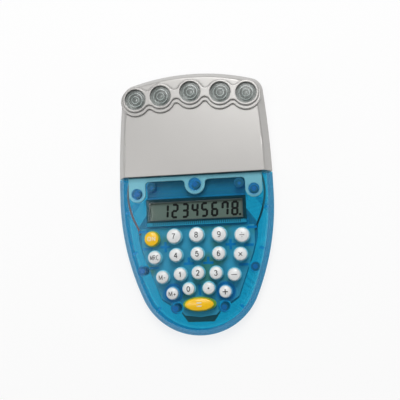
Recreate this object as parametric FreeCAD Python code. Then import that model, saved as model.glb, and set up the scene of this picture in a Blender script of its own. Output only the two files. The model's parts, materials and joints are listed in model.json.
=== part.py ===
"""Pocket calculator with a lamp head, built as separate named pieces.

Millimetres. X runs across the keys, Y towards the lamp end, Z up from the rest face.
The origin is the middle of the rest face.
"""
import FreeCAD
import Part
import math
import os
from collections import namedtuple

Vector = FreeCAD.Vector

# Plan outline
WIDEST_RISE = 6.25
NOSE_RADIUS = 30.0
HEAD_SIDE_RADIUS = 480.0
TOP_EDGE_RADIUS = 105.0
TOP_CORNER_RADIUS = 7.0
JOINT_GAP = 0.3

# Steps of the layout along Y, from the nose to the top edge
EQUALS_FROM_NOSE = 15.1
FOOT_OUTER_RISE = 5.5
FOOT_INNER_RISE = 7.4
THIRD_ROW_RISE = 7.35
SECOND_ROW_RISE = 8.95
FIRST_ROW_RISE = 9.0
WINDOW_RISE = 11.95
JOINT_RISE = 16.95
BAY_FROM_JOINT = 16.5
LAMP_FROM_TOP = 10.9

# Walls of the case
WALL = 1.8
FLOOR = 1.6
END_WALL = 1.6
FLANK_INSET = 3.3
BELLY_INSET = 2.0
FACE_EDGE_RADIUS = 1.2
BELLY_EDGE_RADIUS = 1.0
LIP_HEIGHT = 1.0
LIP_WIDTH = 0.85
HEAD_STEP = 0.6
FIT_GAP = 0.1

# Board and keypad mat
BOARD_LIFT = 2.4
BOARD_THICKNESS = 1.2
BOARD_RIM = 0.4
BOARD_FROM_JOINT = 1.8
BOARD_FROM_LUG = 4.2
BOARD_SIDE_GAP = 8.5
BOARD_LOW_GAP = 7.4
BOARD_CORNER = 2.0
BOARD_TAIL_HALF = 6.3
BOARD_TAIL_DROP = 8.7
BOARD_HIP_HALF = 9.6
BOARD_HIP_DROP = 4.0
MAT_BASE = 1.0
MAT_MARGIN = 1.6
MAT_FOOT_HALF = 7.5
MAT_FOOT_DROP = 5.4
MAT_BOW = 1.0
DOME_ROOF = 1.3
DOME_NECK_SHARE = 0.7
PILL_RADIUS = 1.4
PILL_THICKNESS = 0.9
CHIP_SIDE = 13.0
CHIP_HEIGHT = 1.2

# Keys
KEY_PROUD = 1.5
KEY_CLEARANCE = 0.2
KEY_FLANGE_THICKNESS = 0.9
KEY_FLANGE_WIDTH = 0.5
KEY_SHOULDER = 0.8
KEY_CROWN = 0.35
FOOT_KEY_DIAMETER = 5.6
FOOT_INNER_X = 4.76
FOOT_OUTER_X = 12.54
EQUALS_WIDTH = 13.6
EQUALS_HEIGHT = 5.95

# Display
WINDOW_WIDTH = 46.1
WINDOW_HEIGHT = 10.1
WINDOW_THICKNESS = 1.1
WINDOW_LEDGE = 0.6
LCD_THICKNESS = 2.2
LCD_EDGE = 1.0
LCD_FOOT = 1.9
RIB_WIDTH = 1.2
RIB_LENGTH = 5.0
KEY_RIB_LENGTH = 4.6
FRAME_LEG = 2.6
COLLAR_GAP = 0.7
COLLAR_WALL = 1.0
ZEBRA_WIDTH = 1.6
ZEBRA_MARGIN = 2.5
LCD_LIFT = 1.4
LCD_RIM = 0.9

# Bosses and screws
LUG_RADIUS = 4.1
LUG_FROM_LCD = 4.15
LUG_FROM_JOINT = 8.0
LUG_BOSS_RADIUS = 2.45
MIDDLE_LUG_RADIUS = 4.9
MIDDLE_LUG_FROM_JOINT = 4.4
MIDDLE_BOSS_RADIUS = 2.85
FLANGE_THICKNESS = 1.4
FLANGE_DEPTH = 2.3
FLANGE_ROOT_RADIUS = 1.8
SOCKET_WALL = 0.9
MID_BOSS_FROM_SIDE = 5.5
MID_BOSS_RISE = 1.8
LOW_BOSS_FROM_KEY = 4.75
LOW_BOSS_DROP = 1.75
BOSS_RADIUS = 2.0
POST_RADIUS = 2.9
POST_CLEARANCE = 0.35
BOARD_POST_FROM_EDGE = 2.75
BOARD_POST_FROM_JOINT = 5.1
BOARD_POST_RADIUS = 2.2
SCREW_RADIUS = 1.1
SCREW_HEAD_RADIUS = 2.0
SCREW_HEAD_HEIGHT = 1.3
SCREW_SEAT = 0.8
SCREW_END_GAP = 0.7
SCREW_PILOT_GAP = 0.06
SCREW_PASS_GAP = 0.3
BOARD_SCREW_RADIUS = 0.75
BOARD_SCREW_HEAD_RADIUS = 1.5
BOARD_SCREW_HEAD_HEIGHT = 0.8
BOARD_SCREW_LENGTH = 4.4
BOARD_SLOT_LENGTH = 2.2
BOARD_SLOT_WIDTH = 0.4
DRIVE_LENGTH = 2.4
DRIVE_WIDTH = 0.5
DRIVE_DEPTH = 0.6
HEAD_POST_TOP_X = 7.2
HEAD_POST_RADIUS = 2.3
HEAD_POST_GAP = 0.6

# Lamp row
LAMP_FROM_SIDE = 10.7
LAMP_OUTER_PITCH = 12.35
LAMP_INNER_DROP = 1.15
LAMP_OUTER_DROP = 2.2
LAMP_BOARD_GAP = 0.7
LENS_RADIUS = 5.0
LENS_GAP = 0.1
LENS_PLATE = 0.6
LENS_DOME = 0.55
LENS_PLATE_MARGIN = 0.9
LENS_PLATE_WEB = 1.6
BEZEL_BASE_RADIUS = 7.2
BEZEL_BASE_SHIFT = -0.8
BEZEL_BASE_HEIGHT = 0.9
BEZEL_TOP_RADIUS = 6.15
BEZEL_TOP_HEIGHT = 0.9
BEZEL_BASE_SCALLOP = 1.6
BEZEL_TOP_SCALLOP = 2.5
BEZEL_ROUND = 0.45
CUP_RADIUS = 5.3
CUP_FOOT_RADIUS = 3.4
CUP_WALL = 0.4
CUP_WEB = 2.4
CUP_WEB_THICKNESS = 0.8
LED_RADIUS = 2.5
LED_FLANGE_RADIUS = 2.9
LED_FLANGE = 1.0
LEAD_SPREAD = 1.27
LEAD_SIDE = 0.5
LEAD_LENGTH = 0.6
LED_TIP_GAP = 0.4
LAMP_BOARD_THICKNESS = 1.2
LAMP_BOARD_HALF = 4.5
STANDOFF_RADIUS = 1.6

# Lamp switch
SWITCH_DROP = 2.6
SWITCH_LENGTH = 11.0
SWITCH_DEPTH = 4.6
SWITCH_HEIGHT = 2.1
SWITCH_ROOF = 1.0
SWITCH_TRAVEL = 4.0
SWITCH_STEM = 2.0
SWITCH_STEM_DEPTH = 2.2
SWITCH_PAD_LENGTH = 4.4
SWITCH_PAD_DEPTH = 3.2
SWITCH_PAD_THICKNESS = 0.8
SWITCH_PAD_Z = 0.3
PAD_GROOVE = 0.2
DISH_DEPTH = 1.4
DISH_FLOOR = 1.1
DISH_MARGIN = 0.8
DISH_RIM = 1.2
SLIDE_GAP = 0.2

# Battery compartment
CELL_RADIUS = 10.0
CELL_THICKNESS = 3.2
CELL_HALF_GAP = 3.2
CELL_CHAMFER = 0.3
BAY_SIDE_ROOM = 3.4
BAY_END_ROOM = 0.6
BAY_WALL = 1.4
LINK_HEIGHT = 1.1
DOOR_LEDGE = 0.7
DOOR_GAP = 0.15
DOOR_PIN_RADIUS = 0.45
DOOR_PIN_REACH = 1.2
DOOR_PIN_GAP = 0.06
NOTCH_WIDTH = 12.0
NOTCH_REACH = 1.2
NOTCH_DEPTH = 0.9
GRIP_WIDTH = 10.0
GRIP_COUNT = 4
GRIP_STEP = 1.6
GRIP_DEPTH = 0.5
GRIP_MARGIN = 2.6
STRIP = 0.3
STRIP_WIDTH = 5.0
TAB_WIDTH = 2.4
TAB_RISE = 1.4

# Wires
WIRE_RADIUS = 0.5
WIRE_BEND_SHARE = 0.45

# Heights that follow from those above
BOARD_Z = FLOOR + BOARD_LIFT
BOARD_FACE_Z = BOARD_Z + BOARD_THICKNESS
PARTING_Z = BOARD_FACE_Z + BOARD_RIM
LCD_Z = BOARD_FACE_Z + LCD_LIFT
LCD_FACE_Z = LCD_Z + LCD_THICKNESS
BODY_CEILING_Z = LCD_FACE_Z + LCD_RIM
BODY_FACE_Z = BODY_CEILING_Z + WALL
HEAD_FACE_Z = BODY_FACE_Z + HEAD_STEP
HEAD_CEILING_Z = HEAD_FACE_Z - WALL
MAT_Z = BOARD_FACE_Z + MAT_BASE
RIB_Z = MAT_Z + FIT_GAP
KEY_FLANGE_Z = BODY_CEILING_Z - FIT_GAP
KEY_Z = KEY_FLANGE_Z - KEY_FLANGE_THICKNESS
KEY_TOP_Z = BODY_FACE_Z + KEY_PROUD
FLANGE_TOP_Z = BODY_CEILING_Z - FIT_GAP
FLANGE_Z = FLANGE_TOP_Z - FLANGE_THICKNESS
SCREW_SEAT_Z = FLOOR + SCREW_SEAT
SCREW_END_Z = BODY_CEILING_Z - SCREW_END_GAP
DISH_Z = DISH_DEPTH + DISH_FLOOR
LAMP_BOARD_Z = DISH_Z + SWITCH_HEIGHT
LAMP_BOARD_FACE_Z = LAMP_BOARD_Z + LAMP_BOARD_THICKNESS
CUP_Z = LAMP_BOARD_FACE_Z + LEAD_LENGTH + LED_FLANGE
BEZEL_STEP_Z = HEAD_FACE_Z + BEZEL_BASE_HEIGHT
BEZEL_TOP_Z = BEZEL_STEP_Z + BEZEL_TOP_HEIGHT
CELL_Z = FLOOR + LINK_HEIGHT
BAY_CEILING_Z = CELL_Z + CELL_THICKNESS + STRIP
DOOR_HINGE_Z = FLOOR / 2

# Widths that follow from those above
LCD_HALF_WIDTH = WINDOW_WIDTH / 2 + LCD_EDGE
LUG_X = LCD_HALF_WIDTH + LUG_FROM_LCD
FLANGE_HALF = LUG_X + LUG_RADIUS - FIT_GAP
HALF_WIDTH = LUG_X + LUG_RADIUS + FIT_GAP + WALL + FLANK_INSET
BOARD_NECK_HALF = LUG_X - BOARD_FROM_LUG
BOARD_POST_X = BOARD_NECK_HALF - BOARD_POST_FROM_EDGE
BOARD_SHOULDER_HALF = HALF_WIDTH - BOARD_SIDE_GAP
CELL_X = CELL_RADIUS + CELL_HALF_GAP
BAY_HALF_WIDTH = CELL_X + CELL_RADIUS + BAY_SIDE_ROOM
BAY_HALF_DEPTH = CELL_RADIUS + BAY_END_ROOM
DOOR_HALF_WIDTH = BAY_HALF_WIDTH + DOOR_LEDGE
DOOR_HALF_DEPTH = BAY_HALF_DEPTH + DOOR_LEDGE
POST_OUTER = HEAD_POST_RADIUS + SOCKET_WALL
HEAD_POST_SIDE_X = BAY_HALF_WIDTH + BAY_WALL + POST_OUTER
LAMP_OUTER_X = HALF_WIDTH - LAMP_FROM_SIDE
LAMP_INNER_X = LAMP_OUTER_X - LAMP_OUTER_PITCH
LOW_BOSS_X = EQUALS_WIDTH / 2 + LOW_BOSS_FROM_KEY

# Places along Y that follow from those above
BAY_TO_POST = BAY_HALF_DEPTH + BAY_WALL + HEAD_POST_RADIUS + HEAD_POST_GAP
POST_TO_LAMP = POST_OUTER + LAMP_BOARD_GAP + LAMP_BOARD_HALF
LENGTH = (EQUALS_FROM_NOSE + FOOT_INNER_RISE + THIRD_ROW_RISE + SECOND_ROW_RISE + FIRST_ROW_RISE
          + WINDOW_RISE + JOINT_RISE + BAY_FROM_JOINT + BAY_TO_POST + POST_TO_LAMP + LAMP_FROM_TOP)
HALF_LENGTH = LENGTH / 2
EQUALS_Y = EQUALS_FROM_NOSE - HALF_LENGTH
FOOT_OUTER_Y = EQUALS_Y + FOOT_OUTER_RISE
FOOT_INNER_Y = EQUALS_Y + FOOT_INNER_RISE
THIRD_ROW_Y = FOOT_INNER_Y + THIRD_ROW_RISE
SECOND_ROW_Y = THIRD_ROW_Y + SECOND_ROW_RISE
FIRST_ROW_Y = SECOND_ROW_Y + FIRST_ROW_RISE
WINDOW_Y = FIRST_ROW_Y + WINDOW_RISE
LCD_LOW_Y = WINDOW_Y - WINDOW_HEIGHT / 2 - LCD_FOOT
LCD_HIGH_Y = WINDOW_Y + WINDOW_HEIGHT / 2 + LCD_EDGE
MAT_TOP_Y = LCD_LOW_Y - MAT_BASE
WIDEST_Y = WINDOW_Y + WIDEST_RISE
JOINT_Y = WINDOW_Y + JOINT_RISE
BODY_END_Y = JOINT_Y - JOINT_GAP / 2
HEAD_END_Y = JOINT_Y + JOINT_GAP / 2
LUG_Y = JOINT_Y - LUG_FROM_JOINT
MIDDLE_LUG_Y = JOINT_Y - MIDDLE_LUG_FROM_JOINT
BOARD_TOP_Y = JOINT_Y - BOARD_FROM_JOINT
BOARD_POST_Y = JOINT_Y - BOARD_POST_FROM_JOINT
MID_BOSS_Y = THIRD_ROW_Y + MID_BOSS_RISE
LOW_BOSS_Y = EQUALS_Y - LOW_BOSS_DROP
CELL_Y = JOINT_Y + BAY_FROM_JOINT
DOOR_HINGE_Y = CELL_Y - DOOR_HALF_DEPTH + DOOR_GAP + FLOOR / 2
HEAD_POST_TOP_Y = CELL_Y + BAY_TO_POST
LAMP_MIDDLE_Y = HEAD_POST_TOP_Y + POST_TO_LAMP
SWITCH_Y = LAMP_MIDDLE_Y - SWITCH_DROP
NOSE_Y = NOSE_RADIUS - HALF_LENGTH
RISE = WIDEST_Y - NOSE_Y
SIDE_RADIUS = (HALF_WIDTH ** 2 + RISE ** 2 - NOSE_RADIUS ** 2) / (2 * (HALF_WIDTH - NOSE_RADIUS))
FAR = 2 * LENGTH

KeyRow = namedtuple("KeyRow", "names middle_y sag pitch diameter")
Key = namedtuple("Key", "name x y half_width half_height")
Boss = namedtuple("Boss", "x y radius socket")

KEY_ROWS = (
    KeyRow(("on", "7", "8", "9", "divide"), FIRST_ROW_Y, 0.26, 10.77, 6.75),
    KeyRow(("memory_recall", "4", "5", "6", "multiply"), SECOND_ROW_Y, 0.25, 10.23, 6.1),
    KeyRow(("memory_minus", "1", "2", "3", "minus"), THIRD_ROW_Y, 0.36, 8.52, 5.9),
)


def key_list():
    """Every key with its middle and half sizes."""
    keys = []
    for row in KEY_ROWS:
        for number, name in enumerate(row.names):
            step = number - (len(row.names) - 1) / 2
            keys.append(Key(name, step * row.pitch, row.middle_y - row.sag * step ** 2,
                            row.diameter / 2, row.diameter / 2))
    half = FOOT_KEY_DIAMETER / 2
    keys.append(Key("memory_plus", -FOOT_OUTER_X, FOOT_OUTER_Y, half, half))
    keys.append(Key("0", -FOOT_INNER_X, FOOT_INNER_Y, half, half))
    keys.append(Key("point", FOOT_INNER_X, FOOT_INNER_Y, half, half))
    keys.append(Key("plus", FOOT_OUTER_X, FOOT_OUTER_Y, half, half))
    keys.append(Key("equals", 0.0, EQUALS_Y, EQUALS_WIDTH / 2, EQUALS_HEIGHT / 2))
    return keys


def half_width_at(y):
    """Half width of the plan outline below its widest place."""
    side_x = HALF_WIDTH - SIDE_RADIUS
    meet_y = NOSE_Y + NOSE_RADIUS * (NOSE_Y - WIDEST_Y) / (SIDE_RADIUS - NOSE_RADIUS)
    if y > meet_y:
        return side_x + math.sqrt(SIDE_RADIUS ** 2 - (y - WIDEST_Y) ** 2)
    return math.sqrt(NOSE_RADIUS ** 2 - (y - NOSE_Y) ** 2)


def row_end(number):
    """Middle of the right end key of a row."""
    row = KEY_ROWS[number]
    step = (len(row.names) - 1) / 2
    return step * row.pitch, row.middle_y - row.sag * step ** 2


def boss_list():
    """Screw bosses of the body; socket is true for those that hold a lug of the head."""
    bosses = [Boss(0.0, MIDDLE_LUG_Y, MIDDLE_BOSS_RADIUS, True)]
    for side in (-1, 1):
        bosses.append(Boss(side * LUG_X, LUG_Y, LUG_BOSS_RADIUS, True))
        mid_x = half_width_at(MID_BOSS_Y) - MID_BOSS_FROM_SIDE
        bosses.append(Boss(side * mid_x, MID_BOSS_Y, BOSS_RADIUS, False))
        bosses.append(Boss(side * LOW_BOSS_X, LOW_BOSS_Y, BOSS_RADIUS, False))
    return bosses


def head_post_list():
    """Middles of the screw posts of the head."""
    posts = []
    for side in (-1, 1):
        posts.append((side * HEAD_POST_SIDE_X, CELL_Y))
        posts.append((side * HEAD_POST_TOP_X, HEAD_POST_TOP_Y))
    return posts


def lamp_list():
    """Middles of the lamps from left to right, on a shallow bow."""
    inner = (LAMP_INNER_X, LAMP_MIDDLE_Y - LAMP_INNER_DROP)
    outer = (LAMP_OUTER_X, LAMP_MIDDLE_Y - LAMP_OUTER_DROP)
    return [(-outer[0], outer[1]), (-inner[0], inner[1]), (0.0, LAMP_MIDDLE_Y), inner, outer]


def cylinder(x, y, radius, low, high):
    """Upright cylinder between two heights."""
    return Part.makeCylinder(radius, high - low, Vector(x, y, low))


def block(x_low, x_high, y_low, y_high, z_low, z_high):
    """Box between limits."""
    return Part.makeBox(x_high - x_low, y_high - y_low, z_high - z_low, Vector(x_low, y_low, z_low))


def prism(points, low, high):
    """Upright prism over a closed polygon."""
    corners = [Vector(x, y, low) for x, y in points]
    return Part.Face(Part.makePolygon(corners + corners[:1])).extrude(Vector(0, 0, high - low))


def joined(shapes):
    """One shape from overlapping ones, without seams."""
    return shapes[0].fuse(shapes[1:]).removeSplitter()


def upright_edges(shape, wanted):
    """Vertical edges whose foot passes a test on x and y."""
    edges = []
    for edge in shape.Edges:
        box = edge.BoundBox
        if box.XLength < 1e-6 and box.YLength < 1e-6 and wanted(box.XMin, box.YMin):
            edges.append(edge)
    return edges


def level_edges(shape, height):
    """Edges that lie at one height."""
    return [edge for edge in shape.Edges
            if abs(edge.BoundBox.ZMin - height) < 1e-5 and abs(edge.BoundBox.ZMax - height) < 1e-5]


def arc_edge(centre, radius, start, end, height):
    """Arc between two angles in the plan."""
    angles = (start, (start + end) / 2, end)
    points = [Vector(centre[0] + radius * math.cos(a), centre[1] + radius * math.sin(a), height)
              for a in angles]
    return Part.Arc(*points).toShape()


def corner_centre():
    """Middle of the right top corner arc, tangent to the head's side and top edge."""
    side_x = HALF_WIDTH - HEAD_SIDE_RADIUS
    top_y = HALF_LENGTH - TOP_EDGE_RADIUS
    near = HEAD_SIDE_RADIUS - TOP_CORNER_RADIUS
    far = TOP_EDGE_RADIUS - TOP_CORNER_RADIUS
    gap_x = -side_x
    gap_y = top_y - WIDEST_Y
    gap = math.hypot(gap_x, gap_y)
    along = (near ** 2 - far ** 2 + gap ** 2) / (2 * gap)
    across = math.sqrt(near ** 2 - along ** 2)
    return (side_x + (along * gap_x - across * gap_y) / gap,
            WIDEST_Y + (along * gap_y + across * gap_x) / gap)


def outline(inset, height):
    """Closed plan outline, drawn in by an inset."""
    nose = (0.0, NOSE_Y)
    side = (HALF_WIDTH - SIDE_RADIUS, WIDEST_Y)
    head = (HALF_WIDTH - HEAD_SIDE_RADIUS, WIDEST_Y)
    corner = corner_centre()
    top = (0.0, HALF_LENGTH - TOP_EDGE_RADIUS)
    low = math.atan2(nose[1] - side[1], nose[0] - side[0])
    high = math.atan2(corner[1] - head[1], corner[0] - head[0])
    crest = math.atan2(corner[1] - top[1], corner[0] - top[0])
    pi = math.pi
    edges = [arc_edge(nose, NOSE_RADIUS - inset, -pi - low, -pi / 2, height),
             arc_edge(nose, NOSE_RADIUS - inset, -pi / 2, low, height)]
    right = ((side, SIDE_RADIUS, low, 0.0), (head, HEAD_SIDE_RADIUS, 0.0, high),
             (corner, TOP_CORNER_RADIUS, high, crest))
    for centre, radius, start, end in right:
        edges.append(arc_edge(centre, radius - inset, start, end, height))
    edges.append(arc_edge(top, TOP_EDGE_RADIUS - inset, crest, pi / 2, height))
    edges.append(arc_edge(top, TOP_EDGE_RADIUS - inset, pi / 2, pi - crest, height))
    for centre, radius, start, end in reversed(right):
        edges.append(arc_edge((-centre[0], centre[1]), radius - inset, pi - end, pi - start, height))
    return Part.Wire(edges)


def slab(inset_low, low, inset_high, high):
    """Solid between two outlines at two heights."""
    return Part.makeLoft([outline(inset_low, low), outline(inset_high, high)], True, True)


def body_side(shape, end=BODY_END_Y):
    """The part of a shape on the body's side of a plane across the case."""
    return shape.common(block(-FAR, FAR, -FAR, end, -FAR, FAR))


def head_side(shape, end=HEAD_END_Y):
    """The part of a shape on the head's side of a plane across the case."""
    return shape.common(block(-FAR, FAR, end, FAR, -FAR, FAR))


def rounded_slab(inset_low, low, inset_high, high, round_at, radius):
    """Slab with one of its flat faces' edges rounded."""
    solid = slab(inset_low, low, inset_high, high)
    return solid.makeFillet(radius, level_edges(solid, round_at))


def upper_skin(face_z):
    """Outside of an upper cover, from the parting line to its face."""
    return rounded_slab(0.0, PARTING_Z, FLANK_INSET, face_z, face_z, FACE_EDGE_RADIUS)


def upper_hollow(face_z):
    """Room inside an upper cover."""
    return slab(WALL, PARTING_Z, FLANK_INSET + WALL, face_z - WALL)


def lip_groove():
    """Groove round the foot of the upper covers for the lower covers' lip."""
    return slab(WALL - LIP_WIDTH - FIT_GAP, PARTING_Z, WALL - LIP_WIDTH - FIT_GAP,
                PARTING_Z + LIP_HEIGHT + FIT_GAP)


def lower_skin():
    """Outside of the lower covers."""
    return rounded_slab(BELLY_INSET, 0.0, 0.0, PARTING_Z, 0.0, BELLY_EDGE_RADIUS)


def lower_hollow():
    """Room inside the lower covers."""
    return slab(BELLY_INSET + WALL, FLOOR, WALL, PARTING_Z)


def lip_ring():
    """Lip that stands on the rim of the lower covers."""
    top = PARTING_Z + LIP_HEIGHT
    ring = slab(WALL - LIP_WIDTH, PARTING_Z, WALL - LIP_WIDTH, top)
    return ring.cut(slab(WALL, PARTING_Z, WALL, top))


def lobes(radius, web, shift, low, high):
    """Row of discs over the lamps, joined by straight webs."""
    lamps = [(x, y + shift) for x, y in lamp_list()]
    pieces = [cylinder(x, y, radius, low, high) for x, y in lamps]
    for (x_1, y_1), (x_2, y_2) in zip(lamps, lamps[1:]):
        length = math.hypot(x_2 - x_1, y_2 - y_1)
        across = ((y_1 - y_2) / length * web, (x_2 - x_1) / length * web)
        pieces.append(prism([(x_1 - across[0], y_1 - across[1]), (x_2 - across[0], y_2 - across[1]),
                             (x_2 + across[0], y_2 + across[1]), (x_1 + across[0], y_1 + across[1])],
                            low, high))
    return joined(pieces)


def scalloped(radius, scallop, shift, low, high):
    """Row of discs over the lamps, joined by hollow arcs tangent to each pair."""
    lamps = [(x, y + shift) for x, y in lamp_list()]
    pieces = [cylinder(x, y, radius, low, high) for x, y in lamps]
    for (x_1, y_1), (x_2, y_2) in zip(lamps, lamps[1:]):
        half = math.hypot(x_2 - x_1, y_2 - y_1) / 2
        rise = math.sqrt((radius + scallop) ** 2 - half ** 2)
        off_x = (y_1 - y_2) / (2 * half) * rise
        off_y = (x_2 - x_1) / (2 * half) * rise
        middle = ((x_1 + x_2) / 2, (y_1 + y_2) / 2)
        above = (middle[0] + off_x, middle[1] + off_y)
        below = (middle[0] - off_x, middle[1] - off_y)
        bridge = prism([(x_1, y_1), below, (x_2, y_2), above], low, high)
        pieces.append(bridge.cut([cylinder(x, y, scallop, low, high) for x, y in (above, below)]))
    return joined(pieces)


def drive_cross(x, y, low):
    """Cross slot of a screw head, from below."""
    half = DRIVE_LENGTH / 2
    thin = DRIVE_WIDTH / 2
    return joined([block(x - half, x + half, y - thin, y + thin, low, low + DRIVE_DEPTH),
                   block(x - thin, x + thin, y - half, y + half, low, low + DRIVE_DEPTH)])


def case_screw(x, y):
    """Screw driven from below into a boss."""
    low = SCREW_SEAT_Z - SCREW_HEAD_HEIGHT
    head = cylinder(x, y, SCREW_HEAD_RADIUS, low, SCREW_SEAT_Z)
    shank = cylinder(x, y, SCREW_RADIUS, SCREW_SEAT_Z, SCREW_END_Z)
    return joined([head, shank]).cut(drive_cross(x, y, low))


def pilot(x, y):
    """Hole in an upper boss for a case screw's thread."""
    return cylinder(x, y, SCREW_RADIUS + SCREW_PILOT_GAP, PARTING_Z, SCREW_END_Z + FIT_GAP)


def screw_way(x, y):
    """Stepped hole through a lower post for a case screw."""
    seat = cylinder(x, y, SCREW_HEAD_RADIUS + SCREW_PASS_GAP, 0.0, SCREW_SEAT_Z)
    return joined([seat, cylinder(x, y, SCREW_RADIUS + SCREW_PASS_GAP, 0.0, PARTING_Z)])


def rib(x, y, length, width, low):
    """Straight rib under the body's face, long along X."""
    return block(x - length / 2, x + length / 2, y - width / 2, y + width / 2, low, BODY_CEILING_Z)


def turned_rib(x, y, length, angle, low):
    """Rib turned about its middle."""
    piece = rib(x, y, length, RIB_WIDTH, low)
    piece.rotate(Vector(x, y, 0), Vector(0, 0, 1), angle)
    return piece


# Ribs beside the rows' end keys, from the first row: steps right and up from the key
KEY_RIBS = ((4.8, 3.7), (4.0, 4.3), (4.5, 4.5))
# Ribs on the side wall: step down from the window's middle, reach in from the outline, length, turn
WALL_RIBS = ((-0.15, 2.8, 3.4, 0.0), (19.75, 2.7, 5.0, -15.0), (47.45, 3.3, 5.0, -45.0))


def face_ribs():
    """Ribs under the body's face that keep the mat and the board down."""
    plus_x = 1.5 * (KEY_ROWS[0].pitch + KEY_ROWS[1].pitch) / 2
    plus_y = (FIRST_ROW_Y + SECOND_ROW_Y) / 2 - KEY_ROWS[0].sag * 1.5 ** 2
    tee_x = (KEY_ROWS[1].pitch + KEY_ROWS[2].pitch) / 4
    tee_y = (SECOND_ROW_Y + THIRD_ROW_Y) / 2
    bar_y = FOOT_INNER_Y - RIB_WIDTH * 0.7
    ribs = [rib(0.0, bar_y, RIB_WIDTH, RIB_LENGTH, RIB_Z)]
    for side in (-1, 1):
        ribs.append(rib(side * plus_x, plus_y, RIB_LENGTH, RIB_WIDTH, RIB_Z))
        ribs.append(rib(side * plus_x, plus_y, RIB_WIDTH, RIB_LENGTH, RIB_Z))
        ribs.append(rib(side * tee_x, tee_y, RIB_LENGTH, RIB_WIDTH, RIB_Z))
        ribs.append(rib(side * tee_x, tee_y + RIB_WIDTH, RIB_WIDTH, RIB_LENGTH * 0.7, RIB_Z))
        for row, (right, up) in enumerate(KEY_RIBS):
            x, y = row_end(row)
            ribs.append(rib(side * (x + right), y + up, KEY_RIB_LENGTH, RIB_WIDTH, RIB_Z))
        for drop, reach, length, turn in WALL_RIBS:
            y = WINDOW_Y - drop
            ribs.append(turned_rib(side * (half_width_at(y) - reach), y, length, side * turn, RIB_Z))
        inner = FOOT_KEY_DIAMETER / 2 + COLLAR_GAP
        collar = cylinder(side * FOOT_OUTER_X, FOOT_OUTER_Y, inner + COLLAR_WALL, RIB_Z, BODY_CEILING_Z)
        ribs.append(collar.cut(cylinder(side * FOOT_OUTER_X, FOOT_OUTER_Y, inner, 0.0, BODY_CEILING_Z)))
    return ribs


def lcd_frame():
    """Ribs round the LCD and the rim that presses on its face."""
    low = LCD_Z + LCD_THICKNESS / 4
    near = FIT_GAP
    far = near + RIB_WIDTH * 0.75
    x_in = LCD_HALF_WIDTH + near
    x_out = LCD_HALF_WIDTH + far
    ribs = [block(-x_out, x_out, LCD_HIGH_Y + near, LCD_HIGH_Y + far, low, BODY_CEILING_Z),
            block(-x_out, x_out, LCD_LOW_Y - far, LCD_LOW_Y - near, low, BODY_CEILING_Z)]
    for side in (-1, 1):
        x_low = min(side * x_in, side * x_out)
        x_high = max(side * x_in, side * x_out)
        ribs.append(block(x_low, x_high, LCD_LOW_Y - far, LCD_LOW_Y + FRAME_LEG, low, BODY_CEILING_Z))
        ribs.append(block(x_low, x_high, LCD_HIGH_Y - FRAME_LEG, LCD_HIGH_Y + far, low, BODY_CEILING_Z))
    ribs.append(block(-LCD_HALF_WIDTH, LCD_HALF_WIDTH, LCD_LOW_Y, LCD_HIGH_Y, LCD_FACE_Z, BODY_CEILING_Z))
    lugs = [cylinder(side * LUG_X, LUG_Y, LUG_RADIUS + POST_CLEARANCE, 0.0, FAR) for side in (-1, 1)]
    return [piece.cut(lugs) for piece in ribs]


def window_opening():
    """Stepped opening for the display window."""
    half = WINDOW_WIDTH / 2
    rise = WINDOW_HEIGHT / 2
    step = BODY_FACE_Z - WINDOW_THICKNESS
    wide = block(-half, half, WINDOW_Y - rise, WINDOW_Y + rise, step, BODY_FACE_Z)
    half -= WINDOW_LEDGE
    rise -= WINDOW_LEDGE
    return joined([wide, block(-half, half, WINDOW_Y - rise, WINDOW_Y + rise, LCD_FACE_Z, BODY_FACE_Z)])


def ellipse_post(key, grow, low, high):
    """Upright post with a key's plan, grown by an amount."""
    if abs(key.half_width - key.half_height) < 1e-6:
        return cylinder(key.x, key.y, key.half_width + grow, low, high)
    curve = Part.Ellipse(Vector(key.x, key.y, low), key.half_width + grow, key.half_height + grow)
    return Part.Face(Part.Wire(curve.toShape())).extrude(Vector(0, 0, high - low))


def upper_shell():
    """Blue upper shell of the body."""
    skin = upper_skin(BODY_FACE_Z)
    solid = skin.cut(upper_hollow(BODY_FACE_Z)).cut(lip_groove())
    extras = face_ribs() + lcd_frame()
    for boss in boss_list():
        extras.append(cylinder(boss.x, boss.y, boss.radius, PARTING_Z, BODY_CEILING_Z))
    for side in (-1, 1):
        extras.append(cylinder(side * BOARD_POST_X, BOARD_POST_Y, BOARD_POST_RADIUS,
                               BOARD_FACE_Z, BODY_CEILING_Z))
    extras = [piece.common(slab(WALL, 0.0, FLANK_INSET, BODY_FACE_Z)) for piece in extras]
    solid = body_side(solid.fuse(extras).removeSplitter())
    holes = [window_opening()]
    holes += [ellipse_post(key, KEY_CLEARANCE, 0.0, FAR) for key in key_list()]
    holes += [pilot(boss.x, boss.y) for boss in boss_list()]
    for side in (-1, 1):
        holes.append(cylinder(side * BOARD_POST_X, BOARD_POST_Y, BOARD_SCREW_RADIUS + SCREW_PILOT_GAP,
                              0.0, BOARD_Z + BOARD_SCREW_LENGTH + FIT_GAP))
    return solid.cut(holes)


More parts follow.
